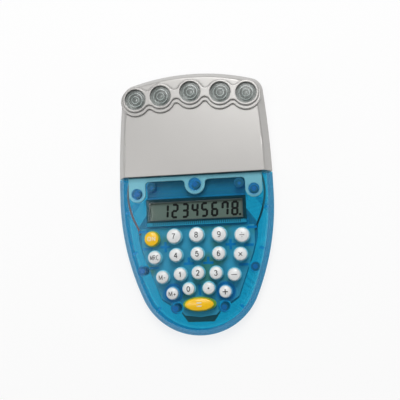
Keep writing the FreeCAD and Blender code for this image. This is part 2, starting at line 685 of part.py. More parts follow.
def lower_shell():
    """Lower shell of the body, with the screw posts and board rests."""
    solid = body_side(lower_skin().cut(body_side(lower_hollow(), BODY_END_Y - END_WALL)))
    extras = [body_side(lip_ring(), BODY_END_Y - END_WALL)]
    for boss in boss_list():
        radius = boss.radius + FIT_GAP + SOCKET_WALL if boss.socket else POST_RADIUS
        top = FLANGE_Z - FIT_GAP if boss.socket else PARTING_Z
        post = cylinder(boss.x, boss.y, radius, FLOOR / 2, top)
        if boss.socket:
            post = post.cut(cylinder(boss.x, boss.y, boss.radius + FIT_GAP, PARTING_Z, top))
        extras.append(post)
    rests = ((BOARD_NECK_HALF - 2 * BOARD_POST_RADIUS, WINDOW_Y + WINDOW_HEIGHT / 2),
             (BOARD_SHOULDER_HALF - 2 * BOARD_POST_RADIUS, FIRST_ROW_Y),
             (row_end(2)[0] + BOARD_POST_RADIUS, THIRD_ROW_Y), (BOARD_TAIL_HALF, EQUALS_Y - BOARD_HIP_DROP))
    for x, y in rests:
        for side in (-1, 1):
            extras.append(cylinder(side * x, y, STANDOFF_RADIUS, FLOOR / 2, BOARD_Z))
    solid = solid.fuse(extras).removeSplitter()
    return solid.cut([screw_way(boss.x, boss.y) for boss in boss_list()])


def head_flange():
    """Flange of the head that runs under the body's face, with three lugs."""
    edge = JOINT_Y - FLANGE_DEPTH
    pieces = [block(-FLANGE_HALF, FLANGE_HALF, edge, HEAD_END_Y + END_WALL, FLANGE_Z, FLANGE_TOP_Z)]
    lugs = ((0.0, MIDDLE_LUG_Y, MIDDLE_LUG_RADIUS, MIDDLE_BOSS_RADIUS),
            (-LUG_X, LUG_Y, LUG_RADIUS, LUG_BOSS_RADIUS), (LUG_X, LUG_Y, LUG_RADIUS, LUG_BOSS_RADIUS))
    for x, y, radius, boss in lugs:
        pieces.append(cylinder(x, y, radius, FLANGE_Z, FLANGE_TOP_Z))
        pieces.append(block(x - radius, x + radius, y, edge + FIT_GAP, FLANGE_Z, FLANGE_TOP_Z))
    solid = joined(pieces)
    roots = upright_edges(solid, lambda x, y: abs(y - edge) < 1e-4 and abs(x) < LUG_X)
    solid = solid.makeFillet(FLANGE_ROOT_RADIUS, roots)
    return solid.cut([cylinder(x, y, boss + FIT_GAP, 0.0, FAR) for x, y, radius, boss in lugs])


def head_upper_cover():
    """Silver upper cover of the head."""
    towers = scalloped(BEZEL_BASE_RADIUS, BEZEL_BASE_SCALLOP, BEZEL_BASE_SHIFT, PARTING_Z, HEAD_FACE_Z)
    skin = upper_skin(HEAD_FACE_Z).fuse(towers).removeSplitter()
    hollow = head_side(upper_hollow(HEAD_FACE_Z), HEAD_END_Y + END_WALL)
    wire_way = block(-FAR, FAR, -FAR, HEAD_END_Y + END_WALL, 0.0, FLANGE_Z)
    solid = head_side(skin).cut([hollow, wire_way.common(slab(WALL, 0.0, WALL, FLANGE_Z))])
    solid = solid.cut(head_side(lip_groove(), HEAD_END_Y + END_WALL))
    posts = [cylinder(x, y, HEAD_POST_RADIUS, PARTING_Z, HEAD_CEILING_Z).common(skin)
             for x, y in head_post_list()]
    solid = solid.fuse(posts + [head_flange()]).removeSplitter()
    holes = [cylinder(x, y, CUP_RADIUS + FIT_GAP, 0.0, FAR) for x, y in lamp_list()]
    holes += [pilot(x, y) for x, y in head_post_list()]
    return solid.cut(holes)


def bay_box(half_width, half_depth, low, high):
    """Box about the middle of the battery bay."""
    return block(-half_width, half_width, CELL_Y - half_depth, CELL_Y + half_depth, low, high)


def hinge_bar(radius, half_length):
    """Round bar along the battery door's hinge line."""
    return Part.makeCylinder(radius, 2 * half_length, Vector(-half_length, DOOR_HINGE_Y, DOOR_HINGE_Z),
                             Vector(1, 0, 0))


def head_lower_cover():
    """Lower cover of the head, with the battery bay and the switch dish."""
    skin = lower_skin()
    solid = head_side(skin.cut(head_side(lower_hollow(), HEAD_END_Y + END_WALL)))
    extras = [head_side(lip_ring(), HEAD_END_Y + END_WALL)]
    extras += [cylinder(x, y, POST_OUTER, FLOOR / 2, PARTING_Z).common(skin) for x, y in head_post_list()]
    extras.append(bay_box(BAY_HALF_WIDTH + BAY_WALL, BAY_HALF_DEPTH + BAY_WALL, FLOOR / 2,
                          BAY_CEILING_Z + BAY_WALL))
    dish_x = SWITCH_TRAVEL / 2 + SWITCH_PAD_LENGTH / 2 + DISH_MARGIN
    dish_y = SWITCH_PAD_DEPTH / 2 + DISH_MARGIN
    extras.append(block(-dish_x - DISH_RIM, dish_x + DISH_RIM, SWITCH_Y - dish_y - DISH_RIM,
                        SWITCH_Y + dish_y + DISH_RIM, FLOOR / 2, DISH_Z))
    lamps = lamp_list()
    for (x_1, y_1), (x_2, y_2) in zip(lamps, lamps[1:]):
        if abs(x_1 + x_2) > LAMP_OUTER_X:
            extras.append(cylinder((x_1 + x_2) / 2, (y_1 + y_2) / 2, STANDOFF_RADIUS, FLOOR / 2,
                                   LAMP_BOARD_Z))
    solid = solid.fuse(extras).removeSplitter()
    holes = [bay_box(BAY_HALF_WIDTH, BAY_HALF_DEPTH, 0.0, BAY_CEILING_Z),
             bay_box(DOOR_HALF_WIDTH, DOOR_HALF_DEPTH, 0.0, FLOOR)]
    holes.append(hinge_bar(DOOR_PIN_RADIUS + DOOR_PIN_GAP, DOOR_HALF_WIDTH + DOOR_PIN_REACH + FIT_GAP))
    edge = CELL_Y + DOOR_HALF_DEPTH
    holes.append(block(-NOTCH_WIDTH / 2, NOTCH_WIDTH / 2, edge - FIT_GAP, edge + NOTCH_REACH,
                       0.0, NOTCH_DEPTH))
    holes += [screw_way(x, y) for x, y in head_post_list()]
    holes.append(block(-dish_x, dish_x, SWITCH_Y - dish_y, SWITCH_Y + dish_y, 0.0, DISH_DEPTH))
    slot = SWITCH_TRAVEL / 2 + SWITCH_STEM / 2 + SLIDE_GAP
    holes.append(block(-slot, slot, SWITCH_Y - SWITCH_STEM_DEPTH / 2 - SLIDE_GAP,
                       SWITCH_Y + SWITCH_STEM_DEPTH / 2 + SLIDE_GAP, 0.0, DISH_Z))
    for side in (-1, 1):
        x = side * (BAY_HALF_WIDTH - STRIP / 2)
        holes.append(block(x - STRIP / 2 - FIT_GAP, x + STRIP / 2 + FIT_GAP,
                           CELL_Y - CELL_RADIUS / 2 - TAB_WIDTH / 2 - FIT_GAP,
                           CELL_Y - CELL_RADIUS / 2 + TAB_WIDTH / 2 + FIT_GAP, BAY_CEILING_Z - STRIP, FAR))
    return solid.cut(holes)


def battery_door():
    """Flush door that swings down on two end pins, with a grip by its free edge."""
    half = DOOR_HALF_WIDTH - DOOR_GAP
    plate = block(-half, half, DOOR_HINGE_Y, CELL_Y + DOOR_HALF_DEPTH - DOOR_GAP, 0.0, FLOOR)
    solid = joined([plate, hinge_bar(DOOR_HINGE_Z, half),
                    hinge_bar(DOOR_PIN_RADIUS, DOOR_HALF_WIDTH + DOOR_PIN_REACH)])
    grooves = []
    for number in range(GRIP_COUNT):
        y = CELL_Y + DOOR_HALF_DEPTH - GRIP_MARGIN - number * GRIP_STEP
        grooves.append(block(-GRIP_WIDTH / 2, GRIP_WIDTH / 2, y - GRIP_STEP / 4, y + GRIP_STEP / 4,
                             0.0, GRIP_DEPTH))
    return solid.cut(grooves)


def coin_cell(side):
    """Coin cell with chamfered rims."""
    solid = cylinder(side * CELL_X, CELL_Y, CELL_RADIUS, CELL_Z, CELL_Z + CELL_THICKNESS)
    return solid.makeChamfer(CELL_CHAMFER, level_edges(solid, CELL_Z) +
                             level_edges(solid, CELL_Z + CELL_THICKNESS))


def side_contact(side):
    """Strip on a side wall of the bay, with a tab up through its ceiling and a pad over a cell."""
    x_wall = side * BAY_HALF_WIDTH
    x_strip = side * (BAY_HALF_WIDTH - STRIP)
    x_cell = side * CELL_X
    y_tab = CELL_Y - CELL_RADIUS / 2
    x_low = min(x_wall, x_strip)
    x_high = max(x_wall, x_strip)
    tab = block(x_low, x_high, y_tab - TAB_WIDTH / 2, y_tab + TAB_WIDTH / 2, BAY_CEILING_Z - STRIP,
                BAY_CEILING_Z + BAY_WALL + TAB_RISE)
    pad = block(min(x_wall, x_cell), max(x_wall, x_cell), y_tab - STRIP_WIDTH / 2, y_tab + STRIP_WIDTH / 2,
                BAY_CEILING_Z - STRIP, BAY_CEILING_Z)
    return joined([tab, pad])


def contact_link():
    """Strip on the door that joins the two cells from below."""
    return block(-CELL_X - STRIP_WIDTH, CELL_X + STRIP_WIDTH, CELL_Y - STRIP_WIDTH / 2,
                 CELL_Y + STRIP_WIDTH / 2, FLOOR, FLOOR + STRIP).fuse(
        [block(side * CELL_X - STRIP_WIDTH / 2, side * CELL_X + STRIP_WIDTH / 2, CELL_Y - STRIP_WIDTH / 2,
               CELL_Y + STRIP_WIDTH / 2, FLOOR, CELL_Z) for side in (-1, 1)]).removeSplitter()


def lamp_bezel():
    """Scalloped bezel over the lens plate."""
    base = scalloped(BEZEL_BASE_RADIUS, BEZEL_BASE_SCALLOP, BEZEL_BASE_SHIFT, HEAD_FACE_Z, BEZEL_STEP_Z)
    base = base.makeFillet(BEZEL_ROUND, level_edges(base, BEZEL_STEP_Z))
    top = scalloped(BEZEL_TOP_RADIUS, BEZEL_TOP_SCALLOP, 0.0, HEAD_FACE_Z, BEZEL_TOP_Z)
    top = top.makeFillet(BEZEL_ROUND, level_edges(top, BEZEL_TOP_Z))
    solid = base.fuse(top).removeSplitter()
    plate = lobes(LENS_RADIUS + LENS_PLATE_MARGIN + FIT_GAP, LENS_PLATE_WEB + FIT_GAP, 0.0, 0.0,
                  HEAD_FACE_Z + LENS_PLATE + FIT_GAP)
    return solid.cut([plate] + [cylinder(x, y, LENS_RADIUS + LENS_GAP, 0.0, FAR) for x, y in lamp_list()])


def lens_plate():
    """Clear plate with five domed lenses."""
    pieces = [lobes(LENS_RADIUS + LENS_PLATE_MARGIN, LENS_PLATE_WEB, 0.0, HEAD_FACE_Z,
                    HEAD_FACE_Z + LENS_PLATE)]
    edge = BEZEL_TOP_Z - 2 * LENS_DOME
    for x, y in lamp_list():
        disc = cylinder(x, y, LENS_RADIUS, HEAD_FACE_Z, BEZEL_TOP_Z)
        ball = (LENS_RADIUS ** 2 + LENS_DOME ** 2) / (2 * LENS_DOME)
        pieces.append(disc.common(Part.makeSphere(ball, Vector(x, y, edge + LENS_DOME - ball))))
    return joined(pieces)


def reflector_block():
    """Five reflector cups joined by a web."""
    top = HEAD_FACE_Z - FIT_GAP
    height = top - CUP_Z
    web = lobes(CUP_FOOT_RADIUS, CUP_WEB, 0.0, HEAD_CEILING_Z - FIT_GAP - CUP_WEB_THICKNESS,
                HEAD_CEILING_Z - FIT_GAP)
    pieces = [web]
    wells = []
    for x, y in lamp_list():
        pieces.append(Part.makeCone(CUP_FOOT_RADIUS, CUP_RADIUS, height, Vector(x, y, CUP_Z)))
        wells.append(Part.makeCone(LED_RADIUS + FIT_GAP, CUP_RADIUS - CUP_WALL, height, Vector(x, y, CUP_Z)))
    return joined(pieces).cut(wells)


def led(x, y):
    """Round LED on two leads."""
    dome_z = HEAD_FACE_Z - LED_RADIUS - LED_TIP_GAP
    low = CUP_Z - LED_FLANGE
    pieces = [cylinder(x, y, LED_FLANGE_RADIUS, low, CUP_Z), cylinder(x, y, LED_RADIUS, low, dome_z),
              Part.makeSphere(LED_RADIUS, Vector(x, y, dome_z))]
    half = LEAD_SIDE / 2
    for side in (-1, 1):
        lead = x + side * LEAD_SPREAD
        pieces.append(block(lead - half, lead + half, y - half, y + half, LAMP_BOARD_FACE_Z, low + half))
    return joined(pieces)


def lamp_board():
    """Strip board under the lamps."""
    return lobes(LAMP_BOARD_HALF, LAMP_BOARD_HALF, 0.0, LAMP_BOARD_Z, LAMP_BOARD_FACE_Z)


def switch_body():
    """Body of the lamp switch, under the lamp board."""
    low = DISH_Z
    half = SWITCH_LENGTH / 2
    deep = SWITCH_DEPTH / 2
    solid = block(-half, half, SWITCH_Y - deep, SWITCH_Y + deep, low, LAMP_BOARD_Z)
    slot = SWITCH_TRAVEL / 2 + SWITCH_STEM / 2 + SLIDE_GAP
    way = SWITCH_STEM_DEPTH / 2 + SLIDE_GAP
    return solid.cut(block(-slot, slot, SWITCH_Y - way, SWITCH_Y + way, low, LAMP_BOARD_Z - SWITCH_ROOF))


def switch_slider():
    """Sliding stem and thumb pad of the lamp switch, at its left end."""
    x = -SWITCH_TRAVEL / 2
    stem = block(x - SWITCH_STEM / 2, x + SWITCH_STEM / 2, SWITCH_Y - SWITCH_STEM_DEPTH / 2,
                 SWITCH_Y + SWITCH_STEM_DEPTH / 2, SWITCH_PAD_Z, LAMP_BOARD_Z - SWITCH_ROOF - SLIDE_GAP)
    pad = block(x - SWITCH_PAD_LENGTH / 2, x + SWITCH_PAD_LENGTH / 2, SWITCH_Y - SWITCH_PAD_DEPTH / 2,
                SWITCH_Y + SWITCH_PAD_DEPTH / 2, SWITCH_PAD_Z, SWITCH_PAD_Z + SWITCH_PAD_THICKNESS)
    grooves = []
    for number in range(-1, 2):
        middle = x + number * SWITCH_PAD_LENGTH / 4
        grooves.append(block(middle - PAD_GROOVE, middle + PAD_GROOVE, SWITCH_Y - FAR, SWITCH_Y + FAR,
                             SWITCH_PAD_Z, SWITCH_PAD_Z + PAD_GROOVE))
    return joined([stem, pad]).cut(grooves)


def post_clearances():
    """Room round the lower posts that stand up past the board."""
    rooms = []
    for boss in boss_list():
        radius = boss.radius + FIT_GAP + SOCKET_WALL if boss.socket else POST_RADIUS
        rooms.append(cylinder(boss.x, boss.y, radius + POST_CLEARANCE, 0.0, FAR))
    return rooms


def mirrored(points):
    """Closed polygon from the points of its right half."""
    return points + [(-x, y) for x, y in reversed(points)]


def main_board():
    """Main board, narrow beside the lugs and tapered to the nose."""
    wide = BOARD_SHOULDER_HALF
    foot_y = EQUALS_Y + BOARD_HIP_DROP / 2
    right = [(BOARD_TAIL_HALF, EQUALS_Y - BOARD_TAIL_DROP), (BOARD_HIP_HALF, EQUALS_Y - BOARD_HIP_DROP),
             (half_width_at(foot_y) - BOARD_SIDE_GAP, foot_y),
             (half_width_at(SECOND_ROW_Y) - BOARD_LOW_GAP, SECOND_ROW_Y), (wide, FIRST_ROW_Y - RIB_WIDTH),
             (wide, LCD_LOW_Y), (BOARD_NECK_HALF, WINDOW_Y), (BOARD_NECK_HALF, BOARD_TOP_Y)]
    solid = prism(mirrored(right), BOARD_Z, BOARD_FACE_Z)
    tops = upright_edges(solid, lambda x, y: abs(y - BOARD_TOP_Y) < 1e-4)
    solid = solid.makeFillet(BOARD_CORNER, tops)
    screws = [cylinder(side * BOARD_POST_X, BOARD_POST_Y, BOARD_SCREW_RADIUS + SCREW_PASS_GAP, 0.0, FAR)
              for side in (-1, 1)]
    return solid.cut(post_clearances() + screws)


def board_screw(side):
    """Screw through the board into a post of the upper shell."""
    x = side * BOARD_POST_X
    low = BOARD_Z - BOARD_SCREW_HEAD_HEIGHT
    head = cylinder(x, BOARD_POST_Y, BOARD_SCREW_HEAD_RADIUS, low, BOARD_Z)
    shank = cylinder(x, BOARD_POST_Y, BOARD_SCREW_RADIUS, BOARD_Z, BOARD_Z + BOARD_SCREW_LENGTH)
    half = BOARD_SLOT_LENGTH / 2
    thin = BOARD_SLOT_WIDTH / 2
    return joined([head, shank]).cut(block(x - half, x + half, BOARD_POST_Y - thin, BOARD_POST_Y + thin,
                                           low, low + BOARD_SLOT_WIDTH))


def dome_half(key):
    """Plan half size of a key's dome, round for every key."""
    return min(key.half_width, key.half_height)


def keypad_mat():
    """Rubber mat with a hollow dome under every key."""
    foot_y = EQUALS_Y + BOARD_HIP_DROP / 2
    side = BOARD_SHOULDER_HALF - MAT_MARGIN
    right = [(0.0, EQUALS_Y - MAT_FOOT_DROP - MAT_BOW), (MAT_FOOT_HALF, EQUALS_Y - MAT_FOOT_DROP),
             (BOARD_HIP_HALF, EQUALS_Y - BOARD_HIP_DROP + MAT_BOW),
             (half_width_at(foot_y) - BOARD_SIDE_GAP, foot_y + MAT_BOW),
             (half_width_at(SECOND_ROW_Y) - BOARD_LOW_GAP - MAT_BOW, SECOND_ROW_Y - MAT_BOW),
             (side, FIRST_ROW_Y - RIB_LENGTH), (side, MAT_TOP_Y)]
    solid = prism(mirrored(right)[:-1], BOARD_FACE_Z, MAT_Z)
    domes = []
    wells = []
    for key in key_list():
        half = dome_half(key)
        neck = half * DOME_NECK_SHARE
        domes.append(Part.makeCone(half, neck, KEY_Z - MAT_Z, Vector(key.x, key.y, MAT_Z)))
        wells.append(cylinder(key.x, key.y, neck, BOARD_FACE_Z, KEY_Z - DOME_ROOF))
    return solid.fuse(domes).removeSplitter().cut(post_clearances() + wells)


def contact_pills():
    """Carbon pills on the ceilings of the domes."""
    top = KEY_Z - DOME_ROOF
    return [cylinder(key.x, key.y, PILL_RADIUS, top - PILL_THICKNESS, top) for key in key_list()]


def key_cap(key):
    """Domed key with a flange below the shell's face."""
    half = key.half_height
    wide = half + KEY_FLANGE_WIDTH
    edge = KEY_TOP_Z - KEY_CROWN
    diagonal = KEY_SHOULDER * (1 - math.sqrt(0.5))
    points = [Vector(0, 0, KEY_Z), Vector(wide, 0, KEY_Z), Vector(wide, 0, KEY_FLANGE_Z),
              Vector(half, 0, KEY_FLANGE_Z), Vector(half, 0, edge - KEY_SHOULDER)]
    edges = [Part.makeLine(a, b) for a, b in zip(points, points[1:])]
    rim = Vector(half - KEY_SHOULDER, 0, edge)
    edges.append(Part.Arc(points[-1], Vector(half - diagonal, 0, edge - diagonal), rim).toShape())
    crown = Vector(0, 0, KEY_TOP_Z)
    ball = (rim.x ** 2 + KEY_CROWN ** 2) / (2 * KEY_CROWN)
    lift = math.sqrt(ball ** 2 - (rim.x / 2) ** 2) - ball
    edges.append(Part.Arc(rim, Vector(rim.x / 2, 0, KEY_TOP_Z + lift), crown).toShape())
    edges.append(Part.makeLine(crown, points[0]))
    solid = Part.Face(Part.Wire(edges)).revolve(Vector(0, 0, 0), Vector(0, 0, 1), 360)
    if key.half_width > key.half_height:
        matrix = FreeCAD.Matrix()
        matrix.scale(key.half_width / key.half_height, 1.0, 1.0)
        solid = solid.transformGeometry(matrix)
    solid.translate(Vector(key.x, key.y, 0))
    return solid


def display_window():
    """Clear window in the body's face."""
    half = WINDOW_WIDTH / 2 - FIT_GAP
    rise = WINDOW_HEIGHT / 2 - FIT_GAP
    return block(-half, half, WINDOW_Y - rise, WINDOW_Y + rise, BODY_FACE_Z - WINDOW_THICKNESS, BODY_FACE_Z)


def wire(points):
    """Round wire along straight runs joined by tangent arcs."""
    corners = [Vector(*point) for point in points]
    edges = []
    start = corners[0]
    for before, corner, after in zip(corners, corners[1:], corners[2:]):
        back = (before - corner)
        ahead = (after - corner)
        reach = WIRE_BEND_SHARE * min(back.Length, ahead.Length)
        back.normalize()
        ahead.normalize()
        half = back.getAngle(ahead) / 2
        first = corner + back * reach
        last = corner + ahead * reach
        inward = back + ahead
        inward.normalize()
        middle = corner + inward * (reach / math.cos(half) - reach * math.tan(half))
        edges.append(Part.makeLine(start, first))
        edges.append(Part.Arc(first, middle, last).toShape())
        start = last
    edges.append(Part.makeLine(start, corners[-1]))
    path = Part.Wire(edges)
    ring = Part.Wire(Part.makeCircle(WIRE_RADIUS, corners[0], corners[1] - corners[0]))
    print("wire length", round(path.Length, 2), "bend radii", [round(e.Curve.Radius, 1) for e in edges[1::2]])
    return path.makePipeShell([ring], True, True)


# Corners of a wire after its tab: step in from the side, along Y from the joint, and up from the board
WIRE_ROUTE = ((8.5, 6.0, 2.4), (5.0, -1.5, 1.3), (3.9, -10.0, 1.3), (6.0, -19.0, 1.1), (8.6, -24.5, 0.0),
              (9.4, -27.5, 0.0))


def wire_points(side):
    """Corners of a wire from a battery tab to the board."""
    x_tab = side * (BAY_HALF_WIDTH + WIRE_RADIUS)
    y_tab = CELL_Y - CELL_RADIUS / 2
    z_tab = BAY_CEILING_Z + BAY_WALL + TAB_RISE / 2
    z_low = BOARD_FACE_Z + WIRE_RADIUS
    points = [(x_tab, y_tab, z_tab)]
    for inset, rise, height in WIRE_ROUTE:
        points.append((side * (HALF_WIDTH - inset), JOINT_Y + rise, z_low + height))
    return points


def make_nodes():
    """Every node's shape, by name."""
    nodes = {"upper_shell": upper_shell(), "lower_shell": lower_shell(),
             "head_upper_cover": head_upper_cover(), "head_lower_cover": head_lower_cover(),
             "battery_door": battery_door(), "coin_cell_left": coin_cell(-1), "coin_cell_right": coin_cell(1),
             "contact_positive": side_contact(-1), "contact_negative": side_contact(1),
             "contact_link": contact_link(), "lamp_bezel": lamp_bezel(), "lens_plate": lens_plate(),
             "reflector_block": reflector_block(), "lamp_board": lamp_board(), "switch_body": switch_body(),
             "switch_slider": switch_slider(), "main_board": main_board(), "keypad_mat": keypad_mat(),
             "display_window": display_window(), "red_wire": wire(wire_points(-1)),
             "black_wire": wire(wire_points(1))}
    half = CHIP_SIDE / 2
    chip = block(-half, half, SECOND_ROW_Y - half, SECOND_ROW_Y + half, BOARD_Z - CHIP_HEIGHT, BOARD_Z)
    nodes["chip_cover"] = chip.makeFillet(CHIP_HEIGHT / 2, level_edges(chip, BOARD_Z - CHIP_HEIGHT))
    nodes["lcd_panel"] = block(-LCD_HALF_WIDTH, LCD_HALF_WIDTH, LCD_LOW_Y, LCD_HIGH_Y, LCD_Z, LCD_FACE_Z)
    strip = LCD_HALF_WIDTH - ZEBRA_MARGIN
    low = LCD_LOW_Y + ZEBRA_WIDTH / 4
    nodes["zebra_strip"] = block(-strip, strip, low, low + ZEBRA_WIDTH, BOARD_FACE_Z, LCD_Z)
    nodes["display_spacer"] = block(-strip, strip, LCD_HIGH_Y - ZEBRA_WIDTH, LCD_HIGH_Y, BOARD_FACE_Z, LCD_Z)
    for number, (x, y) in enumerate(lamp_list(), 1):
        nodes["led_%d" % number] = led(x, y)
    for key in key_list():
        nodes["key_" + key.name] = key_cap(key)
    nodes["contact_pills"] = Part.makeCompound(contact_pills())
    nodes["case_screws"] = Part.makeCompound([case_screw(boss.x, boss.y) for boss in boss_list()])
    nodes["head_screws"] = Part.makeCompound([case_screw(x, y) for x, y in head_post_list()])
    nodes["board_screws"] = Part.makeCompound([board_screw(side) for side in (-1, 1)])
    return nodes


def export():
    """Writes one STEP file for each node."""
    os.makedirs("parts", exist_ok=True)
    for name, shape in make_nodes().items():
        shape.exportStep("parts/%s.step" % name)
        print(name, len(shape.Solids), shape.isValid(), round(shape.Volume, 2))


export()
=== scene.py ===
"""Finishes, printed legends, display figures and studio of a pocket calculator with a lamp head."""

import json
import logging
import math
from dataclasses import dataclass, field
from enum import Enum

import bpy
from bpy.types import ID, Curve, Material, Node, NodeTree, Object, Scene, Spline
from bpy.types import NodeSocket as Socket
from mathutils import Matrix, Vector


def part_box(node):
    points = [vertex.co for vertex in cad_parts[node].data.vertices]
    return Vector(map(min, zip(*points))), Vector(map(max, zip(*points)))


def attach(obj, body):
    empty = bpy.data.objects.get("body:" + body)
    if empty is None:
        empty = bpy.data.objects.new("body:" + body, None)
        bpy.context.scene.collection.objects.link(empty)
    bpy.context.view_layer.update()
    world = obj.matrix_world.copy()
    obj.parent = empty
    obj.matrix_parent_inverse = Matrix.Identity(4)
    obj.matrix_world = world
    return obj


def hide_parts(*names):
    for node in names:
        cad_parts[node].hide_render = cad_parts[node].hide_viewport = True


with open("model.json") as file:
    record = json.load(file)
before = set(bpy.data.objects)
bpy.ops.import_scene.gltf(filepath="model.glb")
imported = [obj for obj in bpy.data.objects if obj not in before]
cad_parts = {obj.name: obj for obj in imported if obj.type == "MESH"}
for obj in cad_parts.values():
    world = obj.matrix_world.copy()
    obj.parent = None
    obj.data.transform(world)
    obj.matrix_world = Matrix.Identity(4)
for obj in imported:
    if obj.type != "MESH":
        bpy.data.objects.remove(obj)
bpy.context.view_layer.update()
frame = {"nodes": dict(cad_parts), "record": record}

logging.basicConfig(level=logging.INFO, format="%(message)s")
log = logging.getLogger("calculator")

MM = 0.001
WHITE = (1.0, 1.0, 1.0)
GRAIN_DEPTH = 0.05 * MM
EDGE_SAMPLES = 6
# Painted shade in grooves: ambient occlusion samples, and the occlusion span over which the dark tone gives
# way to the plain tone
GROOVE_SAMPLES = 8
GROOVE_SPAN = (0.2, 0.9)
FACE_ROOM = 0.1 * MM
RIM_POWER = 3.5
RAY_START = 1.0 * MM
# Sockets of a Mix node that mixes colours
MIX_INPUTS = (0, 6, 7)
MIX_OUTPUT = 2
# Upright share of a face's normal: where masks go from zero to one, and from where a face is level
STEEP_SPAN = (0.95, 0.35)
SLANT_SPAN = (0.97, 0.75)
LEAN_SPAN = (0.1, 0.3)
LEVEL_FROM = 0.8

Colour = tuple[float, float, float]
Point = tuple[float, float, float]
Line = list[tuple[float, float]]


def rgba(colour: Colour) -> tuple[float, float, float, float]:
    """Gives a linear colour its full alpha."""
    return (*colour, 1.0)


class Bench:
    """Places and wires the nodes of one tree."""

    def __init__(self, tree: NodeTree) -> None:
        """Keeps the node tree to work on."""
        self.tree = tree

    def feed(self, socket: Socket, value: object) -> None:
        """Links a socket to another, or sets its colour or number.

        Args:
            socket: The socket to feed.
            value: Socket, colour or number.
        """
        if isinstance(value, Socket):
            self.join(value, socket)
        elif socket.type == "RGBA":
            socket.default_value = rgba(value)
        else:
            socket.default_value = value

    def add(self, kind: str, **values: object) -> Node:
        """Adds a node and sets its sockets and properties.

        Args:
            kind: Node type without the ShaderNode prefix.
            values: Property names, or socket names with spaces written as underscores.

        Returns:
            The new node.
        """
        node = self.tree.nodes.new("ShaderNode" + kind)
        for key, value in values.items():
            socket = node.inputs.get(key.replace("_", " "))
            if socket is None:
                setattr(node, key, value)
            else:
                self.feed(socket, value)
        return node

    def join(self, source: Socket, target: Socket) -> None:
        """Links one socket to another."""
        self.tree.links.new(source, target)

    def math(self, operation: str, first: object, second: object = 0.0) -> Socket:
        """Adds a Math node.

        Args:
            operation: The node's operation.
            first: Number or socket.
            second: Number or socket.

        Returns:
            The result's socket.
        """
        node = self.add("Math", operation=operation)
        self.feed(node.inputs[0], first)
        self.feed(node.inputs[1], second)
        return node.outputs[0]

    def mix(self, share: object, first: object, second: object) -> Socket:
        """Adds a colour mix.

        Args:
            share: Number or socket, 0 for the first colour.
            first: Colour or socket.
            second: Colour or socket.

        Returns:
            The mixed colour's socket.
        """
        node = self.add("Mix", data_type="RGBA")
        for place, value in zip(MIX_INPUTS, (share, first, second)):
            self.feed(node.inputs[place], value)
        return node.outputs[MIX_OUTPUT]

    def blend(self, share: object, first: Node, second: Node) -> Node:
        """Adds a mix of two shaders.

        Args:
            share: Number or socket, 0 for the first shader.
            first: The first shader.
            second: The second shader.

        Returns:
            The mixing node.
        """
        node = self.add("MixShader", Fac=share)
        self.join(first.outputs[0], node.inputs[1])
        self.join(second.outputs[0], node.inputs[2])
        return node

    def ramp(self, value: Socket, span: tuple[float, float], top: float = 1.0) -> Socket:
        """Makes a mask that goes from zero to its top as the value crosses the span."""
        return self.add("MapRange", Value=value, From_Min=span[0], From_Max=span[1], To_Max=top).outputs[0]

    def place(self) -> Socket:
        """Gives the Object coordinates."""
        return self.add("TexCoord").outputs["Object"]

    def along(self, axis: str) -> Socket:
        """Gives one of the Object coordinates."""
        return self.add("SeparateXYZ", Vector=self.place()).outputs[axis]

    def levelness(self) -> Socket:
        """Gives one on level faces and zero on upright ones."""
        normal = self.add("NewGeometry").outputs["Normal"]
        return self.math("ABSOLUTE", self.add("SeparateXYZ", Vector=normal).outputs["Z"])


class Groups:
    """Shader node groups that several finishes share."""

    DRIFT = "tone_drift"
    GRAIN = "fine_grain"

    @classmethod
    def fresh(cls, name: str, inputs: dict[str, str], outputs: dict[str, str]) -> tuple[Bench, dict, dict]:
        """Starts an empty group.

        Args:
            name: The group's name.
            inputs: Socket names and types that go in.
            outputs: Socket names and types that come out.

        Returns:
            The bench, the group's inputs and its outputs by name.
        """
        tree = bpy.data.node_groups.new(name, "ShaderNodeTree")
        for socket, kind in inputs.items():
            tree.interface.new_socket(socket, in_out="INPUT", socket_type=kind)
        for socket, kind in outputs.items():
            tree.interface.new_socket(socket, in_out="OUTPUT", socket_type=kind)
        entry = tree.nodes.new("NodeGroupInput")
        leave = tree.nodes.new("NodeGroupOutput")
        return Bench(tree), {s: entry.outputs[s] for s in inputs}, {s: leave.inputs[s] for s in outputs}

    @classmethod
    def build(cls) -> None:
        """Builds every group once."""
        cls.tone_drift()
        cls.fine_grain()

    @classmethod
    def tone_drift(cls) -> None:
        """Builds the slow change of tone across a moulding."""
        bench, given, out = cls.fresh(cls.DRIFT, {"Light": "NodeSocketColor", "Deep": "NodeSocketColor",
                                                  "Scale": "NodeSocketFloat"}, {"Color": "NodeSocketColor"})
        cloud = bench.add("TexNoise", Vector=bench.place(), Scale=given["Scale"], Detail=3.0, Roughness=0.55)
        bench.join(bench.mix(cloud.outputs[0], given["Deep"], given["Light"]), out["Color"])

    @classmethod
    def fine_grain(cls) -> None:
        """Builds the fine grain of a moulded, painted or rolled surface."""
        bench, given, out = cls.fresh(cls.GRAIN, {"Scale": "NodeSocketFloat", "Smooth": "NodeSocketFloat",
                                                  "Rough": "NodeSocketFloat"},
                                      {"Roughness": "NodeSocketFloat", "Height": "NodeSocketFloat"})
        speck = bench.add("TexNoise", Vector=bench.place(), Scale=given["Scale"], Detail=4.0, Roughness=0.6)
        span = bench.math("SUBTRACT", given["Rough"], given["Smooth"])
        bench.join(bench.math("ADD", bench.math("MULTIPLY", speck.outputs[0], span), given["Smooth"]),
                   out["Roughness"])
        bench.join(speck.outputs[0], out["Height"])


